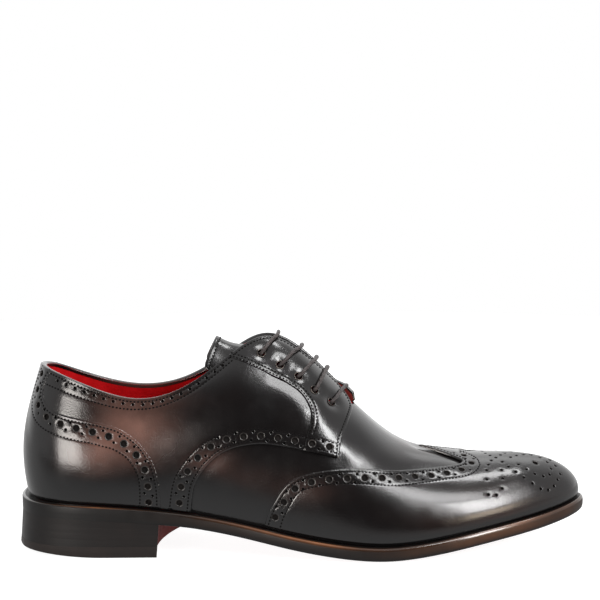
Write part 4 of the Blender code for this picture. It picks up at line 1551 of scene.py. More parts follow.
    def make_quarter(self, side: Side) -> None:
        """Make a quarter from the counter to the eyestay, with its band and the collar's row of holes.

        Args:
            side: the shoe's side that it lies on.
        """
        foot = straight(Patterns.counter_edge[-1], Patterns.band_back[-1])
        edges = on_side(side, [foot, Patterns.band_back[::-1], Patterns.eyestay_seam[::-1], Patterns.collar(),
                               Patterns.counter_edge])
        cut = Cut(f"quarter_leather_{side.value}", LAST, edges, self.overlay_low, self.overlay_high,
                  free=on_side(side, [Patterns.band_back[::-1]]))
        pulled = Patterns.eyestay_seam[Patterns.eyestay_seam[:, 0] > self.seam_dips_from]
        cut.creases = [Crease(on_side(side, [pulled])[0], *self.seam_dip)]
        whole = Patterns.band_edge()
        line = LAST.spaced(self.collar_line(self.collar_holes), self.collar_pitch)
        holes = [(spot, Hole.COLLAR) for spot in line[1:-1]]
        seams = self.quarter_band.rows(whole)
        seams += [self.collar_line(self.collar_rows), self.collar_line(self.collar_low_row)]
        holes += self.quarter_band.punches(whole)
        self.trim(cut, on_side(side, seams), holes if side is Side.OUTER else opposite(holes))
        self.sew(cut, "overlay_leather", f"quarter_{side.value}")

    def make_eyestay(self, side: Side) -> None:
        """Make an eyestay round the facing, with dished lace holes, down to the band's front corner.

        Args:
            side: the shoe's side that it lies on.
        """
        facing = straight(Patterns.quarter_front[0], Patterns.eyestay_seam[0])
        edges = on_side(side, [Patterns.eyestay_seam, Patterns.band_front[::-1], Patterns.quarter_front[::-1],
                               facing])
        cut = Cut(f"eyestay_leather_{side.value}", LAST, edges, self.eyestay_low, self.overlay_high,
                  free=edges, edge_drop=self.eyestay_edge, lattice=self.eyestay_lattice)
        cut.rise = lambda places: self.eyestay_extra * smoothstep(self.eyestay_blend, places[:, 1])
        cut.dimples = Patterns.lace_holes(side)
        cut.creases = [Crease(on_side(side, [Patterns.eyestay_seam])[0], *self.seam_ridge)]
        above_band = LAST.part(Patterns.eyestay_seam, *self.seam_ends)
        seams = [LAST.shifted(above_band, row) for row in self.seam_rows]
        seams += [LAST.shifted(edge, self.edge_row) for edge in (facing, Patterns.quarter_front[::-1])]
        seams += self.quarter_band.rows(Patterns.band_edge())
        holes = self.quarter_band.punches(Patterns.band_edge())
        self.trim(cut, on_side(side, seams), holes if side is Side.OUTER else opposite(holes))
        cut.holes += [(spot, Hole.LACE) for spot in cut.dimples]
        self.sew(cut, "overlay_leather", f"eyestay_{side.value}")

    def trim(self, cut: Cut, seams: list[Array], holes: list[tuple[Array, Hole]]) -> None:
        """Give a cut piece the parts of sewn rows and the holes that lie on it.

        Args:
            cut: the piece.
            seams: sewn rows on the piece's side of the shoe.
            holes: holes on the same side.
        """
        outline = cut.outline()
        for seam in seams:
            fine = LAST.spaced(seam, self.seam_step)
            kept = inside(outline, fine)
            starts = np.flatnonzero(np.diff(np.concatenate([[0], kept.astype(int), [0]])))
            for first, after in zip(starts[::2], starts[1::2]):
                if after - first > self.least_seam:
                    cut.seams.append(fine[first:after])
        edge = LAST.point(*LAST.spaced(np.vstack([outline, outline[:1]]), self.outline_step).T)
        for spot, hole in holes:
            gap, _ = gaps_to(edge, LAST.point(*spot[:, None]))
            if inside(outline, spot[None])[0] and gap[0] > hole.value.radius + self.hole_margin:
                cut.holes.append((spot, hole))

    def make_topline(self) -> None:
        """Make the folded strip that binds the collar's and the facings' edges, red inside the facings, with
        a darker red inside the raised front corner as painted shade.
        """
        t = np.linspace(-self.corner_ends[1], self.strip_reach, self.strip_steps)
        v = np.interp(t, *Patterns.facing_corner().T, left=1.0)
        base, normal = LAST.point(t, v), LAST.normal(t, v)
        _, up = LAST.slopes(t, v)
        up = unit(up - normal * np.sum(up * normal, -1, keepdims=True))
        far = np.abs(t)
        step = self.counter_high - self.overlay_high
        out = self.counter_high - step * smoothstep(self.counter_blend, far)
        out = out + self.eyestay_extra * smoothstep(self.facing_blend, far) + self.strip_proud
        raised = smoothstep(self.corner_rises, -t) * (1.0 - smoothstep(self.corner_ends, -t))
        out = out + self.corner_lift * raised
        inner = -self.wall - self.strip_proud
        crown = [(0.5 - 0.5 * math.cos(a), self.crown_base + self.strip_crown * math.sin(a))
                 for a in np.linspace(0.0, math.pi, self.crown_points)]
        profile = [*self.strip_outside, *crown, *self.strip_inside]
        lines = [base + normal * (out + (inner - out) * across)[:, None] + up * rise
                 for across, rise in profile]
        count = len(t)
        faces, numbers = [], []
        calf, lining, red = range(3)
        for k in range(len(lines)):
            here, after = k * count, (k + 1) % len(lines) * count
            faces += [(here + i, here + i + 1, after + i + 1, after + i) for i in range(count - 1)]
            lined = np.where((profile[k][0] > self.strip_lined) & (far > self.facing_from), lining, calf)
            # The raised corner's inner faces take the darker red finish instead of the lining: painted shade
            lined = np.where((profile[k][0] > self.corner_shade_from) & (raised > 0.0), red, lined)
            numbers += lined[:-1].tolist()
        ends = [k * count for k in range(len(lines))]
        faces += [ends, [end + count - 1 for end in reversed(ends)]]
        numbers += [calf, calf]
        finishes = (Finishes.CALF, Finishes.LINING, Finishes.RED_SOLE)
        piece = self.workshop.piece("topline", np.vstack(lines), faces, finishes, numbers)
        self.workshop.hand_over(piece, "overlay_leather")

    def make_tongue(self) -> None:
        """Make the tongue, with a sewn margin round its free end."""
        tongue = Tongue()
        end = tongue.last_row
        corner = [(end - back, across) for back, across in self.tongue_corner]
        far_end = through([*[(row, -across) for row, across in corner], (end, 0.0), *corner[::-1]])
        edges = [straight((0.0, -1.0), far_end[0]), far_end, straight(far_end[-1], (0.0, 1.0)),
                 straight((0.0, 1.0), (0.0, -1.0))]
        cut = Cut("tongue_leather", tongue, edges, -self.tongue_thick, 0.0, free=edges[:3],
                  edge_drop=self.tongue_edge)
        cut.seams = [tongue.shifted(tongue.spaced(far_end, self.seam_step), self.tongue_margin)]
        self.sew(cut, "upper_leather", "tongue")


def loft(rings: Sequence[Array], flat: bool = False) -> tuple[Array, list[list[int]], list[int]]:
    """Join closed rings of points from the top of a solid to its bottom.

    Args:
        rings: the rings, each with the same number of points.
        flat: whether each end is flat enough to be one face, as it has to be where its outline is hollow.

    Returns:
        The vertices, the faces, and for each face its level: -1 on the top, then one for each pair of rings,
        and one more on the bottom.
    """
    count = len(rings[0])
    faces, levels = [], []
    for level in range(len(rings) - 1):
        upper, lower = level * count, (level + 1) * count
        for i in range(count):
            j = (i + 1) % count
            faces.append([upper + i, lower + i, lower + j, upper + j])
            levels.append(level)
    bottom = (len(rings) - 1) * count
    ends = [[i, i + 1, (count - i - 1) % count, (count - i) % count] for i in range(count // 2)]
    if flat:
        ends = [list(range(count))]
    for end in ends:
        corners = list(dict.fromkeys(end))
        faces += [corners, [bottom + k for k in reversed(corners)]]
        levels += [-1, len(rings) - 1]
    return np.vstack(rings), faces, levels


@dataclass
class Sole:
    """The outsole with its waxed edge, the stacked heel, its top lift and the insole."""

    workshop: Workshop
    seat_gap: float = 0.3
    crown_starts: tuple[float, float] = (100.0, 150.0)
    t_step: float = 0.05
    # Brown stretches of the edge: wear with a painted gleam on its upper bevel, and a brown tone with painted
    # sheen on its side; (ring, strength) round its profile, (x, width, strength) along the shoe
    gleam_and_wear_rings: Line = ((3, 0.2), (4, 0.7), (5, 1.0), (6, 0.5), (7, 0.12))
    gleam_and_wear_spots: Line = ((44.0, 18.0, 0.8), (145.0, 34.0, 1.0), (255.0, 34.0, 0.6))
    side_rings: Line = ((6, 0.2), (7, 0.3), (8, 0.4), (9, 0.4), (10, 0.35), (11, 0.25), (12, 0.1))
    side_spots: Line = ((110.0, 36.0, 0.14), (252.0, 46.0, 0.9))
    heel_square: float = 0.28
    rounded_rings: int = 9
    bevel_rings: tuple[int, int] = (3, 7)
    tread_ring: int = 15
    turned_rings: tuple[int, int] = (11, 15)
    turns_from: tuple[float, float] = (72.0, 96.0)
    joint: float = 0.05
    # Rings of the edge from the top to the tread: (inset, share of the way down, drop of the crown)
    edge_profile: Line = (
        (9.0, 0.0, 0.0), (4.6, 0.0, 0.0), (3.4, 0.012, 0.0), (1.5, 0.012, 0.0), (1.15, 0.02, 0.0),
        (0.75, 0.06, 0.0), (0.42, 0.13, 0.0), (0.2, 0.22, 0.0), (0.06, 0.34, 0.0), (0.0, 0.48, 0.0),
        (0.0, 0.6, 0.0), (0.06, 0.72, 0.0), (0.2, 0.83, 0.0), (0.45, 0.92, 0.0), (0.85, 0.98, 0.0),
        (1.4, 1.0, 0.0), (4.0, 1.0, 0.45), (10.0, 1.0, 1.3))
    insole_thick: float = 2.6
    insole_clear: float = 0.7
    wall: float = WALL
    heel_height: float = 20.0
    heel_lean: float = 1.5
    heel_inset: float = 0.1
    lift_height: float = 6.0
    lift_rounding: float = 0.8
    rounding_share: float = 0.3
    breast: tuple[float, float] = (3.54, 3.88)
    heel_wear: float = 1.8
    worn_to: tuple[float, float] = (0.0, 45.0)
    breast_hollow: float = 5.4
    side_points: int = 60
    breast_points: int = 24
    lift_shares: tuple[float, ...] = (0.26, 0.5, 0.74)
    lift_groove: float = 0.012
    groove_half: float = 0.02

    def make_outsole(self) -> None:
        """Make the outsole: brown where its upper bevel is worn and painted with a gleam, with painted sheen
        on its side, red underneath, square over the heel.
        """
        t = np.arange(0.0, LAST.around, self.t_step)
        turned = smoothstep(self.turns_from, LAST.plan_x.at(t))
        rings = []
        for number, (inset, share, crown) in enumerate(self.edge_profile):
            under = self.turned_rings[0] <= number <= self.turned_rings[1]
            plan = LAST.inset_loop(t, inset * (turned if under else np.ones_like(t)))
            tread = LAST.tread(plan[:, 0]) - crown * smoothstep(self.crown_starts, plan[:, 0])
            squared = self.heel_square if number <= self.rounded_rings else 1.0
            down = share * (squared + (1.0 - squared) * turned)
            height = np.maximum(tread, 0.0) + (LAST.edge_height - self.seat_gap) * (1.0 - down)
            rings.append(np.column_stack([plan, height]))
        vertices, faces, levels = loft(rings)
        along = np.vstack(rings)[:, 0]
        # Wear and painted gleam on the bevel rings, and painted sheen on the side rings, carried to the edge
        # finishes' brown tint
        gleam_and_wear = np.zeros(len(along))
        for chosen, spots in ((self.gleam_and_wear_rings, self.gleam_and_wear_spots), (self.side_rings, self.side_spots)):
            share = np.repeat([dict(chosen).get(number, 0.0) for number in range(len(rings))], len(t))
            for x, width, strength in spots:
                gleam_and_wear += share * strength * np.exp(-((along - x) / width) ** 2)
        waxed, red, polished = range(3)
        bevelled = range(*self.bevel_rings)
        numbers = [red if level >= self.tread_ring else polished if level in bevelled else waxed
                   for level in levels]
        finishes = (Finishes.SOLE_EDGE, Finishes.RED_SOLE, Finishes.SOLE_BEVEL)
        sole = self.workshop.piece("outsole_leather", vertices, faces, finishes, numbers, burnish_and_sheen=gleam_and_wear)
        self.workshop.hand_over(sole, "sole_leather", "outsole")

    def heel_ring(self, inset: float, low: float, share: float) -> Array:
        """Draw a ring of the heel.

        Args:
            inset: how far it lies inside the sole's edge.
            low: the level that its height is counted from.
            share: how much of the way up from there to the seat it lies.

        Returns:
            The ring's points.
        """
        outer = LAST.inset_loop(np.linspace(0.0, self.breast[0], self.side_points), inset)
        inner = LAST.inset_loop(LAST.around - np.linspace(self.breast[1], 0.0, self.side_points), inset)
        across = np.arange(1, self.breast_points + 1) / (self.breast_points + 1.0)
        front = outer[-1] + (inner[0] - outer[-1]) * across[:, None]
        front[:, 0] -= self.breast_hollow * 4.0 * across * (1.0 - across)
        plan = np.vstack([outer, front, inner[:-1]])
        height = low + (LAST.tread(plan[:, 0]) - self.joint - low) * share
        plan[:, 0] -= self.heel_lean * (1.0 - height / self.heel_height)
        return np.column_stack([plan, height])

    def hand_heel(self, name: str, rings: Sequence[Array], finish: Finishes, slot: str, node: str) -> None:
        """Make a piece of the heel, with red leather on its breast, and hand it over.

        Args:
            name: the piece's name.
            rings: its rings, from the top down.
            finish: the finish of its other faces.
            slot: its material slot.
            node: the solid that it stands for.
        """
        vertices, faces, _ = loft(rings, flat=True)
        count = len(rings[0])
        first, after = self.side_points - 1, self.side_points + self.breast_points
        breast = [len(face) == 4 and all(first <= k % count <= after for k in face) for face in faces]
        piece = self.workshop.piece(name, vertices, faces, (finish, Finishes.RED_SOLE), np.array(breast, int))
        self.workshop.hand_over(piece, slot, node)

    def make_heel(self) -> None:
        """Make the stacked heel with the lines between its lifts, and the top lift that meets the floor."""
        levels = [(1.0, 0.0)]
        for share in reversed(self.lift_shares):
            above, below = share + self.groove_half, share - self.groove_half
            levels += [(above, 0.0), (share, self.lift_groove), (below, 0.0)]
        levels.append((0.0, 0.0))
        low = self.lift_height + self.joint
        stack = [self.heel_ring(self.heel_inset + groove, low, share) for share, groove in levels]
        self.hand_heel("heel_lifts", stack, Finishes.HEEL_EDGE, "heel_leather", "heel_stack")
        rounding = self.lift_rounding
        turn = self.rounding_share * rounding
        steps = ((0.0, self.lift_height), (0.0, rounding), (turn, turn), (rounding, 0.0))
        lift = [self.heel_ring(self.heel_inset + inset, height, 0.0) for inset, height in steps]
        for ring in lift[1:]:
            ring[:, 2] += self.heel_wear * (1.0 - smoothstep(self.worn_to, ring[:, 0]))
        self.hand_heel("top_lift_rubber", lift, Finishes.LIFT, "top_lift", "heel_top_lift")

    def make_insole(self) -> None:
        """Make the red insole that shows inside the collar."""
        t = np.arange(0.0, LAST.around, 2.0 * self.t_step)
        plan = LAST.inset_loop(t, LAST.shared["welt"].at(t) + self.wall + self.insole_clear)
        seat = LAST.tread(plan[:, 0]) + LAST.edge_height
        rings = [np.column_stack([plan, seat + self.insole_thick]), np.column_stack([plan, seat])]
        vertices, faces, _ = loft(rings)
        insole = self.workshop.piece("insole_leather", vertices, faces, (Finishes.LINING,))
        self.workshop.hand_over(insole, "lining", "insole")


class Repeats:
    """Geometry Nodes trees that set a small shape along rows or at points."""

    def __init__(self, name: str, sizes: Sequence[str]) -> None:
        """Start a tree with a geometry input and named sizes.

        Args:
            name: the tree's name.
            sizes: names of the sizes.
        """
        tree = bpy.data.node_groups.new(name, "GeometryNodeTree")
        tree.interface.new_socket("Geometry", in_out="INPUT", socket_type="NodeSocketGeometry")
        self.sockets = {size: tree.interface.new_socket(size, in_out="INPUT", socket_type="NodeSocketFloat")
                        for size in sizes}
        tree.interface.new_socket("Geometry", in_out="OUTPUT", socket_type="NodeSocketGeometry")
        self.tree = tree
        self.sheet = NodeSheet(tree)
        self.start = self.sheet.add("NodeGroupInput")

    def kept(self, name: str, kind: str) -> Socket:
        """Return an attribute that is kept with the points."""
        named = self.sheet.add("GeometryNodeInputNamedAttribute", {"Name": name}, data_type=kind)
        return named.outputs["Attribute"]

    def facing(self) -> Socket:
        """Return the direction that each point faces."""
        return self.kept("facing", "FLOAT_VECTOR")

    def upright(self) -> Socket:
        """Return the turn that stands a shape's own Z along each point's direction."""
        turn = self.sheet.add("FunctionNodeAlignRotationToVector", {"Vector": self.facing()}, axis="Z")
        return turn.outputs["Rotation"]

    def close(self, points: Socket, shape: Socket, turn: Socket,
              material: bpy.types.Material) -> None:
        """Set the shape at the points, turned and grown, and end the tree in one mesh with one material.

        Args:
            points: the points or curves.
            shape: the shape.
            turn: its turn at each point.
            material: the mesh's material.
        """
        placed = self.sheet.add("GeometryNodeInstanceOnPoints", {
            "Points": points, "Instance": shape, "Rotation": turn, "Scale": self.kept("growth", "FLOAT")})
        real = self.sheet.add("GeometryNodeRealizeInstances", {"Geometry": placed.outputs["Instances"]})
        smooth = self.sheet.add("GeometryNodeSetShadeSmooth", {"Geometry": real.outputs["Geometry"]})
        dressed = self.sheet.add("GeometryNodeSetMaterial", {"Geometry": smooth.outputs["Geometry"],
                                                             "Material": material})
        self.sheet.add("NodeGroupOutput", {"Geometry": dressed.outputs["Geometry"]})

    def run(self, name: str, lines: Sequence[tuple[Array, Array]], sizes: dict[str, float],
            growth: Sequence[float] | None = None) -> bpy.types.Object:
        """Feed lines of points to the tree and keep what it makes as a plain mesh.

        Args:
            name: name of the new piece.
            lines: points in millimetres and the directions that they face, line by line.
            sizes: value of each size, in millimetres.
            growth: how many times its size the shape has at each point, or once at all of them.

        Returns:
            The new piece.
        """
        edges = []
        first = 0
        for points, _ in lines:
            edges += [(first + i, first + i + 1) for i in range(len(points) - 1)]
            first += len(points)
        mesh = bpy.data.meshes.new(name + "_guide")
        mesh.from_pydata(place(np.vstack([points for points, _ in lines])).tolist(), edges, [])
        facing = mesh.attributes.new("facing", "FLOAT_VECTOR", "POINT")
        facing.data.foreach_set("vector", np.vstack([way for _, way in lines]).astype(np.float32).ravel())
        grown = mesh.attributes.new("growth", "FLOAT", "POINT")
        grown.data.foreach_set("value", np.asarray(np.ones(first) if growth is None else growth, np.float32))
        guide = add_object(name + "_guide", mesh)
        modifier = guide.modifiers.new(name, "NODES")
        modifier.node_group = self.tree
        for size, value in sizes.items():
            modifier[self.sockets[size].identifier] = value * MM
        made = bpy.data.meshes.new_from_object(guide.evaluated_get(bpy.context.evaluated_depsgraph_get()))
        guide.modifiers.remove(modifier)
        bpy.data.objects.remove(guide)
        return add_object(name, made)


@dataclass
class Thread:
    """The stitches of every sewn row."""

    workshop: Workshop
    pitch: float = 1.88
    length: float = 1.3
    width: float = 0.92
    height: float = 0.5
    segments: int = 6
    rings: int = 4

    def make(self, rows: Rows) -> None:
        """Set one stitch at each step of the rows.

        Args:
            rows: the sewn rows.
        """
        repeats = Repeats("stitches", ("Pitch", "Length", "Width", "Height"))
        sheet, size = repeats.sheet, repeats.start.outputs
        curve = sheet.add("GeometryNodeMeshToCurve", {"Mesh": size["Geometry"]})
        even = sheet.add("GeometryNodeResampleCurve", {
            "Curve": curve.outputs["Curve"], "Length": size["Pitch"]}, mode="LENGTH")
        along = sheet.add("GeometryNodeInputTangent")
        turn = sheet.add("FunctionNodeAxesToRotation", {0: repeats.facing(), 1: along.outputs["Tangent"]},
                         primary_axis="Z", secondary_axis="X")
        ball = sheet.add("GeometryNodeMeshUVSphere", {
            "Segments": self.segments, "Rings": self.rings, "Radius": 0.5})
        scale = sheet.add("ShaderNodeCombineXYZ", {
            "X": size["Length"], "Y": size["Width"], "Z": size["Height"]})
        stitch = sheet.add("GeometryNodeTransform", {"Geometry": ball.outputs["Mesh"],
                                                     "Scale": scale.outputs["Vector"]})
        repeats.close(even.outputs["Curve"], stitch.outputs["Geometry"], turn.outputs["Rotation"],
                      self.workshop.materials[Finishes.THREAD])
        piece = repeats.run("stitches", rows.lines, {"Pitch": self.pitch, "Length": self.length,
                                                     "Width": self.width, "Height": self.height})
        self.workshop.hand_over(piece, "lace_cord")


@dataclass
class Lacing:
    """The eyelets and the one lace that runs through them in straight bars."""

    workshop: Workshop
    eyelet_radius: float = 2.2
    eyelet_wire: float = 0.28
    eyelet_lift: float = 0.3
    ring_points: int = 28
    wire_points: int = 10
    cord_radius: float = 1.0
    cord_sides: int = 12
    cord_step: float = 0.6
    # How far each bar leads forward, and how that grows along its outer and its inner half
    forwards: tuple[float, ...] = (0.46, 0.54, 0.43, 0.3, 0.33)
    leans: tuple[float, float] = (0.75, 0.22)
    # Half a bar: shares of the way from the eyelet to the facing's edge, and lifts off the leather there
    shares: tuple[float, ...] = (0.0, 0.0, 0.03, 0.1, 0.3, 0.55, 0.8)
    lifts: tuple[float, ...] = (-2.85, -0.7, 0.75, 1.6, 2.35, 2.75, 2.95)
    middle_lift: float = 3.8
    hidden_lift: float = -2.85
    aside: float = 0.085
    numbers = range(1, len(Patterns.eyelets) + 1)

    def make_eyelets(self) -> None:
        """Seat a small ring round each lace hole, in its dish."""
        repeats = Repeats("eyelets", ("Radius", "Wire"))
        sheet, size = repeats.sheet, repeats.start.outputs
        circles = ((self.ring_points, size["Radius"]), (self.wire_points, size["Wire"]))
        ring, wire = [sheet.add("GeometryNodeCurvePrimitiveCircle", {"Resolution": points, "Radius": radius})
                      for points, radius in circles]
        shape = sheet.add("GeometryNodeCurveToMesh", {"Curve": ring.outputs["Curve"],
                                                      "Profile Curve": wire.outputs["Curve"]})
        repeats.close(size["Geometry"], shape.outputs["Mesh"], repeats.upright(),
                      self.workshop.materials[Finishes.EYELET])
        places = np.array([spot for side in Side for spot in Patterns.lace_holes(side)])
        centres = LAST.lifted(places, np.full(len(places), self.eyelet_lift))
        piece = repeats.run("eyelets", [(centres, LAST.normal(*places.T))],
                            {"Radius": self.eyelet_radius, "Wire": self.eyelet_wire})
        nodes = [f"eyelet_{side.value}_{number}" for side in Side for number in self.numbers]
        self.workshop.hand_over(piece, "eyelet_metal", *nodes)

    def half_bar(self, side: Side, row: int) -> Array:
        """Lead the lace from under an eyelet, up through it and to just before the bar's middle.

        Args:
            side: the eyelet's side of the shoe.
            row: the bar's number from the top, from 0.

        Returns:
            The route's points.
        """
        t, v = Patterns.eyelets[row]
        shares = np.array(self.shares)
        lean = self.leans[0 if side is Side.OUTER else 1]
        places = np.stack([t + self.forwards[row] * shares ** lean, v + (1.0 - v) * shares], 1)
        if side is Side.INNER:
            places = places * (-1.0, 1.0) + (LAST.around, 0.0)
        return LAST.lifted(places, np.array(self.lifts))

    def bar_middle(self, row: int) -> Array:
        """Find the middle of a bar, over the gap between the facings.

        Args:
            row: the bar's number from the top, from 0.

        Returns:
            A point in space.
        """
        t = Patterns.eyelets[row][0] + self.forwards[row]
        ends = LAST.lifted(np.array([(t, 1.0), (LAST.around - t, 1.0)]), np.full(2, self.middle_lift))
        return ends.mean(0)

    def route(self) -> Array:
        """Return the whole lace's route, in millimetres.

        Returns:
            Points from under the top outer eyelet, over each bar in turn, and from the last inner eyelet back
            up inside the facing to the top inner eyelet.
        """
        points = []
        sides = [Side.OUTER, Side.INNER]
        for row in range(len(Patterns.eyelets)):
            start, end = sides if row % 2 == 0 else sides[::-1]
            points += [*self.half_bar(start, row), self.bar_middle(row), *self.half_bar(end, row)[::-1]]
        back = [(LAST.around - t, v - self.aside) for t, v in reversed(Patterns.eyelets)]
        points += [*LAST.lifted(np.array(back), np.full(len(back), self.hidden_lift))]
        return np.array(points)

    def make_lace(self) -> None:
        path = smooth_path(self.route(), self.cord_step)
        ahead = unit(np.gradient(path, axis=0))
        side = np.zeros_like(path)
        side[0] = unit(np.cross(ahead[0], (0.0, 0.0, 1.0)) + NUDGE)
        for i in range(1, len(path)):
            side[i] = unit(side[i - 1] - ahead[i] * (side[i - 1] @ ahead[i]))
        up = np.cross(ahead, side)
        angle = np.arange(self.cord_sides) * 2.0 * math.pi / self.cord_sides
        rings = [point + self.cord_radius * (np.cos(angle)[:, None] * s + np.sin(angle)[:, None] * u)
                 for point, s, u in zip(path, side, up)]
        count, sides = len(rings), self.cord_sides
        faces = [[k * sides + i, k * sides + (i + 1) % sides, (k + 1) * sides + (i + 1) % sides,
                  (k + 1) * sides + i] for k in range(count - 1) for i in range(sides)]
        faces += [list(range(sides))[::-1], [(count - 1) * sides + i for i in range(sides)]]
        lace = self.workshop.piece("lace", np.vstack(rings), faces, (Finishes.LACE,))
        self.map_cord(lace, run_of(path))
        self.workshop.hand_over(lace, "lace_cord", *[f"lace_bar_{number}" for number in self.numbers])

    def map_cord(self, lace: bpy.types.Object, run: Array) -> None:
        """Map the lace: once round it along u, and one for each turn's length along v.

        Args:
            lace: the piece.
            run: the distance of each ring along the lace.
        """
        layer = lace.data.uv_layers.new(name="cord")
        around = 2.0 * math.pi * self.cord_radius
        sides = self.cord_sides
        for polygon in lace.data.polygons:
            corners = [lace.data.loops[i].vertex_index for i in polygon.loop_indices]
            last = any(k % sides == sides - 1 for k in corners)
            for loop, vertex in zip(polygon.loop_indices, corners):
                turn = vertex % sides
                turn = sides if last and turn == 0 else turn
                layer.data[loop].uv = (turn / sides, run[vertex // sides] / around)


def towards(azimuth: float, elevation: float) -> Vector:
    """Return a direction from the shoe; its azimuth is 0 at the camera's side and rises towards the toe."""
    a, e = math.radians(azimuth), math.radians(elevation)
    return Vector((math.sin(a) * math.cos(e), -math.cos(a) * math.cos(e), math.sin(e)))


@dataclass(frozen=True)
class Softbox:
    """A rectangular soft light that looks at the shoe, in degrees, metres and watts."""

    name: str
    azimuth: float
    elevation: float
    away: float
    width: float
    height: float
    watts: float
    colour: tuple[float, float, float] = (1.0, 1.0, 1.0)

    def hang(self) -> None:
        """Add the light to the scene."""
        light = bpy.data.lights.new(self.name, "AREA")
        light.shape = "RECTANGLE"
        light.size, light.size_y = self.width, self.height
        light.energy = self.watts
        light.color = self.colour
        lamp = add_object(self.name, light)
        way = towards(self.azimuth, self.elevation)
        lamp.location = way * self.away
        lamp.rotation_euler = way.to_track_quat("Z", "Y").to_euler()


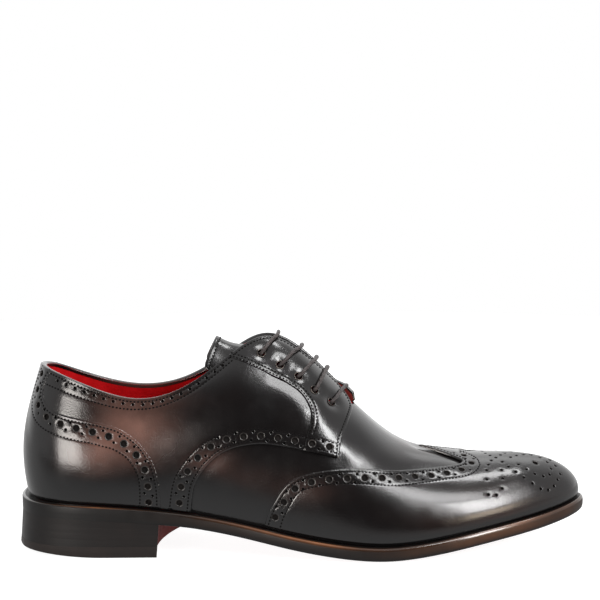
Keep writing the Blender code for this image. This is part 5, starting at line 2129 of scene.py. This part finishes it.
@dataclass
class Studio:
    """The floor, the lights and the camera of the photograph."""

    target: tuple[float, float, float] = (-0.00067, 0.00046, 0.12895)
    azimuth: float = -0.27
    elevation: float = 8.36
    distance: float = 1.0
    roll: float = -0.43
    lens: float = 114.3
    sensor: float = 36.0
    floor_radius: float = 0.8
    floor_sides: int = 64
    floor_colours: tuple[float, float] = (0.03, 0.35)
    floor_seen: float = 0.93
    floor_glows: tuple[float, float] = (0.02, 0.6)
    floor_fades: tuple[float, float] = (-0.26, -0.06)
    floor_roughness: float = 0.9
    floor_specular: float = 0.1
    front: float = 0.03
    sides: float = 0.7
    back: float = 1.25
    sides_from: tuple[float, float] = (-0.85, -0.45)
    back_from: tuple[float, float] = (0.1, 0.68)
    lights: tuple[Softbox, ...] = (
        Softbox("main_softbox", 43.0, 31.0, 2.2, 0.44, 0.9, 26.0),
        Softbox("warm_softbox", 44.0, 10.0, 2.2, 0.5, 0.4, 5.0, (1.0, 0.86, 0.68)),
        Softbox("upper_softbox", 36.0, 52.0, 2.2, 0.85, 0.5, 14.0),
        Softbox("overhead_softbox", 112.0, 70.0, 2.2, 0.5, 0.4, 8.0),
        Softbox("back_softbox", 165.0, 46.0, 2.2, 1.2, 0.7, 2.4),
        Softbox("low_softbox", -34.0, 6.5, 1.6, 0.6, 0.52, 12.5, (1.0, 0.95, 0.9)))

    def make_camera(self) -> None:
        """Set the camera where the photograph was taken from."""
        back = towards(self.azimuth, self.elevation)
        right = (-back).cross(Vector((0.0, 0.0, 1.0))).normalized()
        up = right.cross(-back)
        roll = math.radians(self.roll)
        across = math.cos(roll) * right + math.sin(roll) * up
        above = -math.sin(roll) * right + math.cos(roll) * up
        camera = add_object("camera", bpy.data.cameras.new("camera"))
        camera.data.lens = self.lens
        camera.data.sensor_width = self.sensor
        spot = Vector(self.target) + back * self.distance
        camera.matrix_world = Matrix.Translation(spot) @ Matrix((across, above, back)).transposed().to_4x4()
        bpy.context.scene.camera = camera

    def make_floor(self) -> None:
        """Lay a wide floor: white in the picture, and in the shoe's polish dark in front and pale behind."""
        angles = np.arange(self.floor_sides) * 2.0 * math.pi / self.floor_sides
        corners = [(self.floor_radius * math.cos(a), self.floor_radius * math.sin(a), 0.0) for a in angles]
        mesh = bpy.data.meshes.new("floor")
        mesh.from_pydata(corners, [], [list(range(self.floor_sides))])
        material = bpy.data.materials.new("floor")
        material.use_nodes = True
        sheet = NodeSheet(material.node_tree)
        seen = sheet.add("ShaderNodeLightPath").outputs["Is Camera Ray"]
        colour = sheet.blended(seen, *[[level] * 3 for level in self.floor_colours])
        where = sheet.add("ShaderNodeTexCoord").outputs["Object"]
        parts = sheet.add("ShaderNodeSeparateXYZ", {"Vector": where})
        lit = sheet.ranged(parts.outputs["Y"], self.floor_fades, self.floor_glows)
        glow = sheet.add("ShaderNodeMix", {"Factor": seen, "A": lit, "B": self.floor_seen})
        shader = sheet.add("ShaderNodeBsdfPrincipled", {
            "Base Color": colour, "Roughness": self.floor_roughness,
            "Specular IOR Level": self.floor_specular,
            "Emission Color": (1.0, 1.0, 1.0, 1.0), "Emission Strength": glow.outputs["Result"]})
        sheet.add("ShaderNodeOutputMaterial", {"Surface": shader.outputs["BSDF"]})
        mesh.materials.append(material)
        floor = add_object("floor", mesh)

    def make_surround(self) -> None:
        """Surround the shoe with white walls behind and beside it and a dark room in front."""
        world = bpy.data.worlds.new("studio")
        world.use_nodes = True
        sheet = NodeSheet(world.node_tree)
        way = sheet.add("ShaderNodeTexCoord").outputs["Generated"]
        parts = sheet.add("ShaderNodeSeparateXYZ", {"Vector": way})
        walls = ((self.sides_from, (self.front, self.sides)), (self.back_from, (0.0, self.back - self.sides)))
        beside, behind = [sheet.ranged(parts.outputs["Y"], *wall, interpolation_type="SMOOTHSTEP")
                          for wall in walls]
        both = sheet.calculate("ADD", beside, behind)
        seen = sheet.add("ShaderNodeLightPath").outputs["Is Camera Ray"]
        strength = sheet.add("ShaderNodeMix", {"Factor": seen, "A": both, "B": 1.0})
        background = sheet.add("ShaderNodeBackground", {"Color": (1.0, 1.0, 1.0, 1.0),
                                                        "Strength": strength.outputs["Result"]})
        sheet.add("ShaderNodeOutputWorld", {"Surface": background.outputs["Background"]})
        bpy.context.scene.world = world

    def make(self) -> None:
        """Set up the whole studio."""
        self.make_floor()
        self.make_surround()
        for light in self.lights:
            light.hang()
        self.make_camera()
        bpy.context.scene.view_settings.view_transform = "Standard"


def main() -> None:
    """Build every piece in order and set the studio."""
    logging.basicConfig(level=logging.INFO, format="%(name)s: %(message)s")
    workshop = Workshop()
    rows = Rows()
    floors = Floors(workshop)
    sole = Sole(workshop)
    sole.make_outsole()
    sole.make_heel()
    sole.make_insole()
    upper = Upper(workshop, rows, floors)
    upper.make_wall()
    upper.make_wing()
    upper.make_counter()
    for side in Side:
        upper.make_quarter(side)
        upper.make_eyestay(side)
    upper.make_topline()
    upper.make_tongue()
    lacing = Lacing(workshop)
    lacing.make_eyelets()
    lacing.make_lace()
    floors.make()
    Thread(workshop).make(rows)
    Studio().make()


if __name__ == "__main__":
    main()
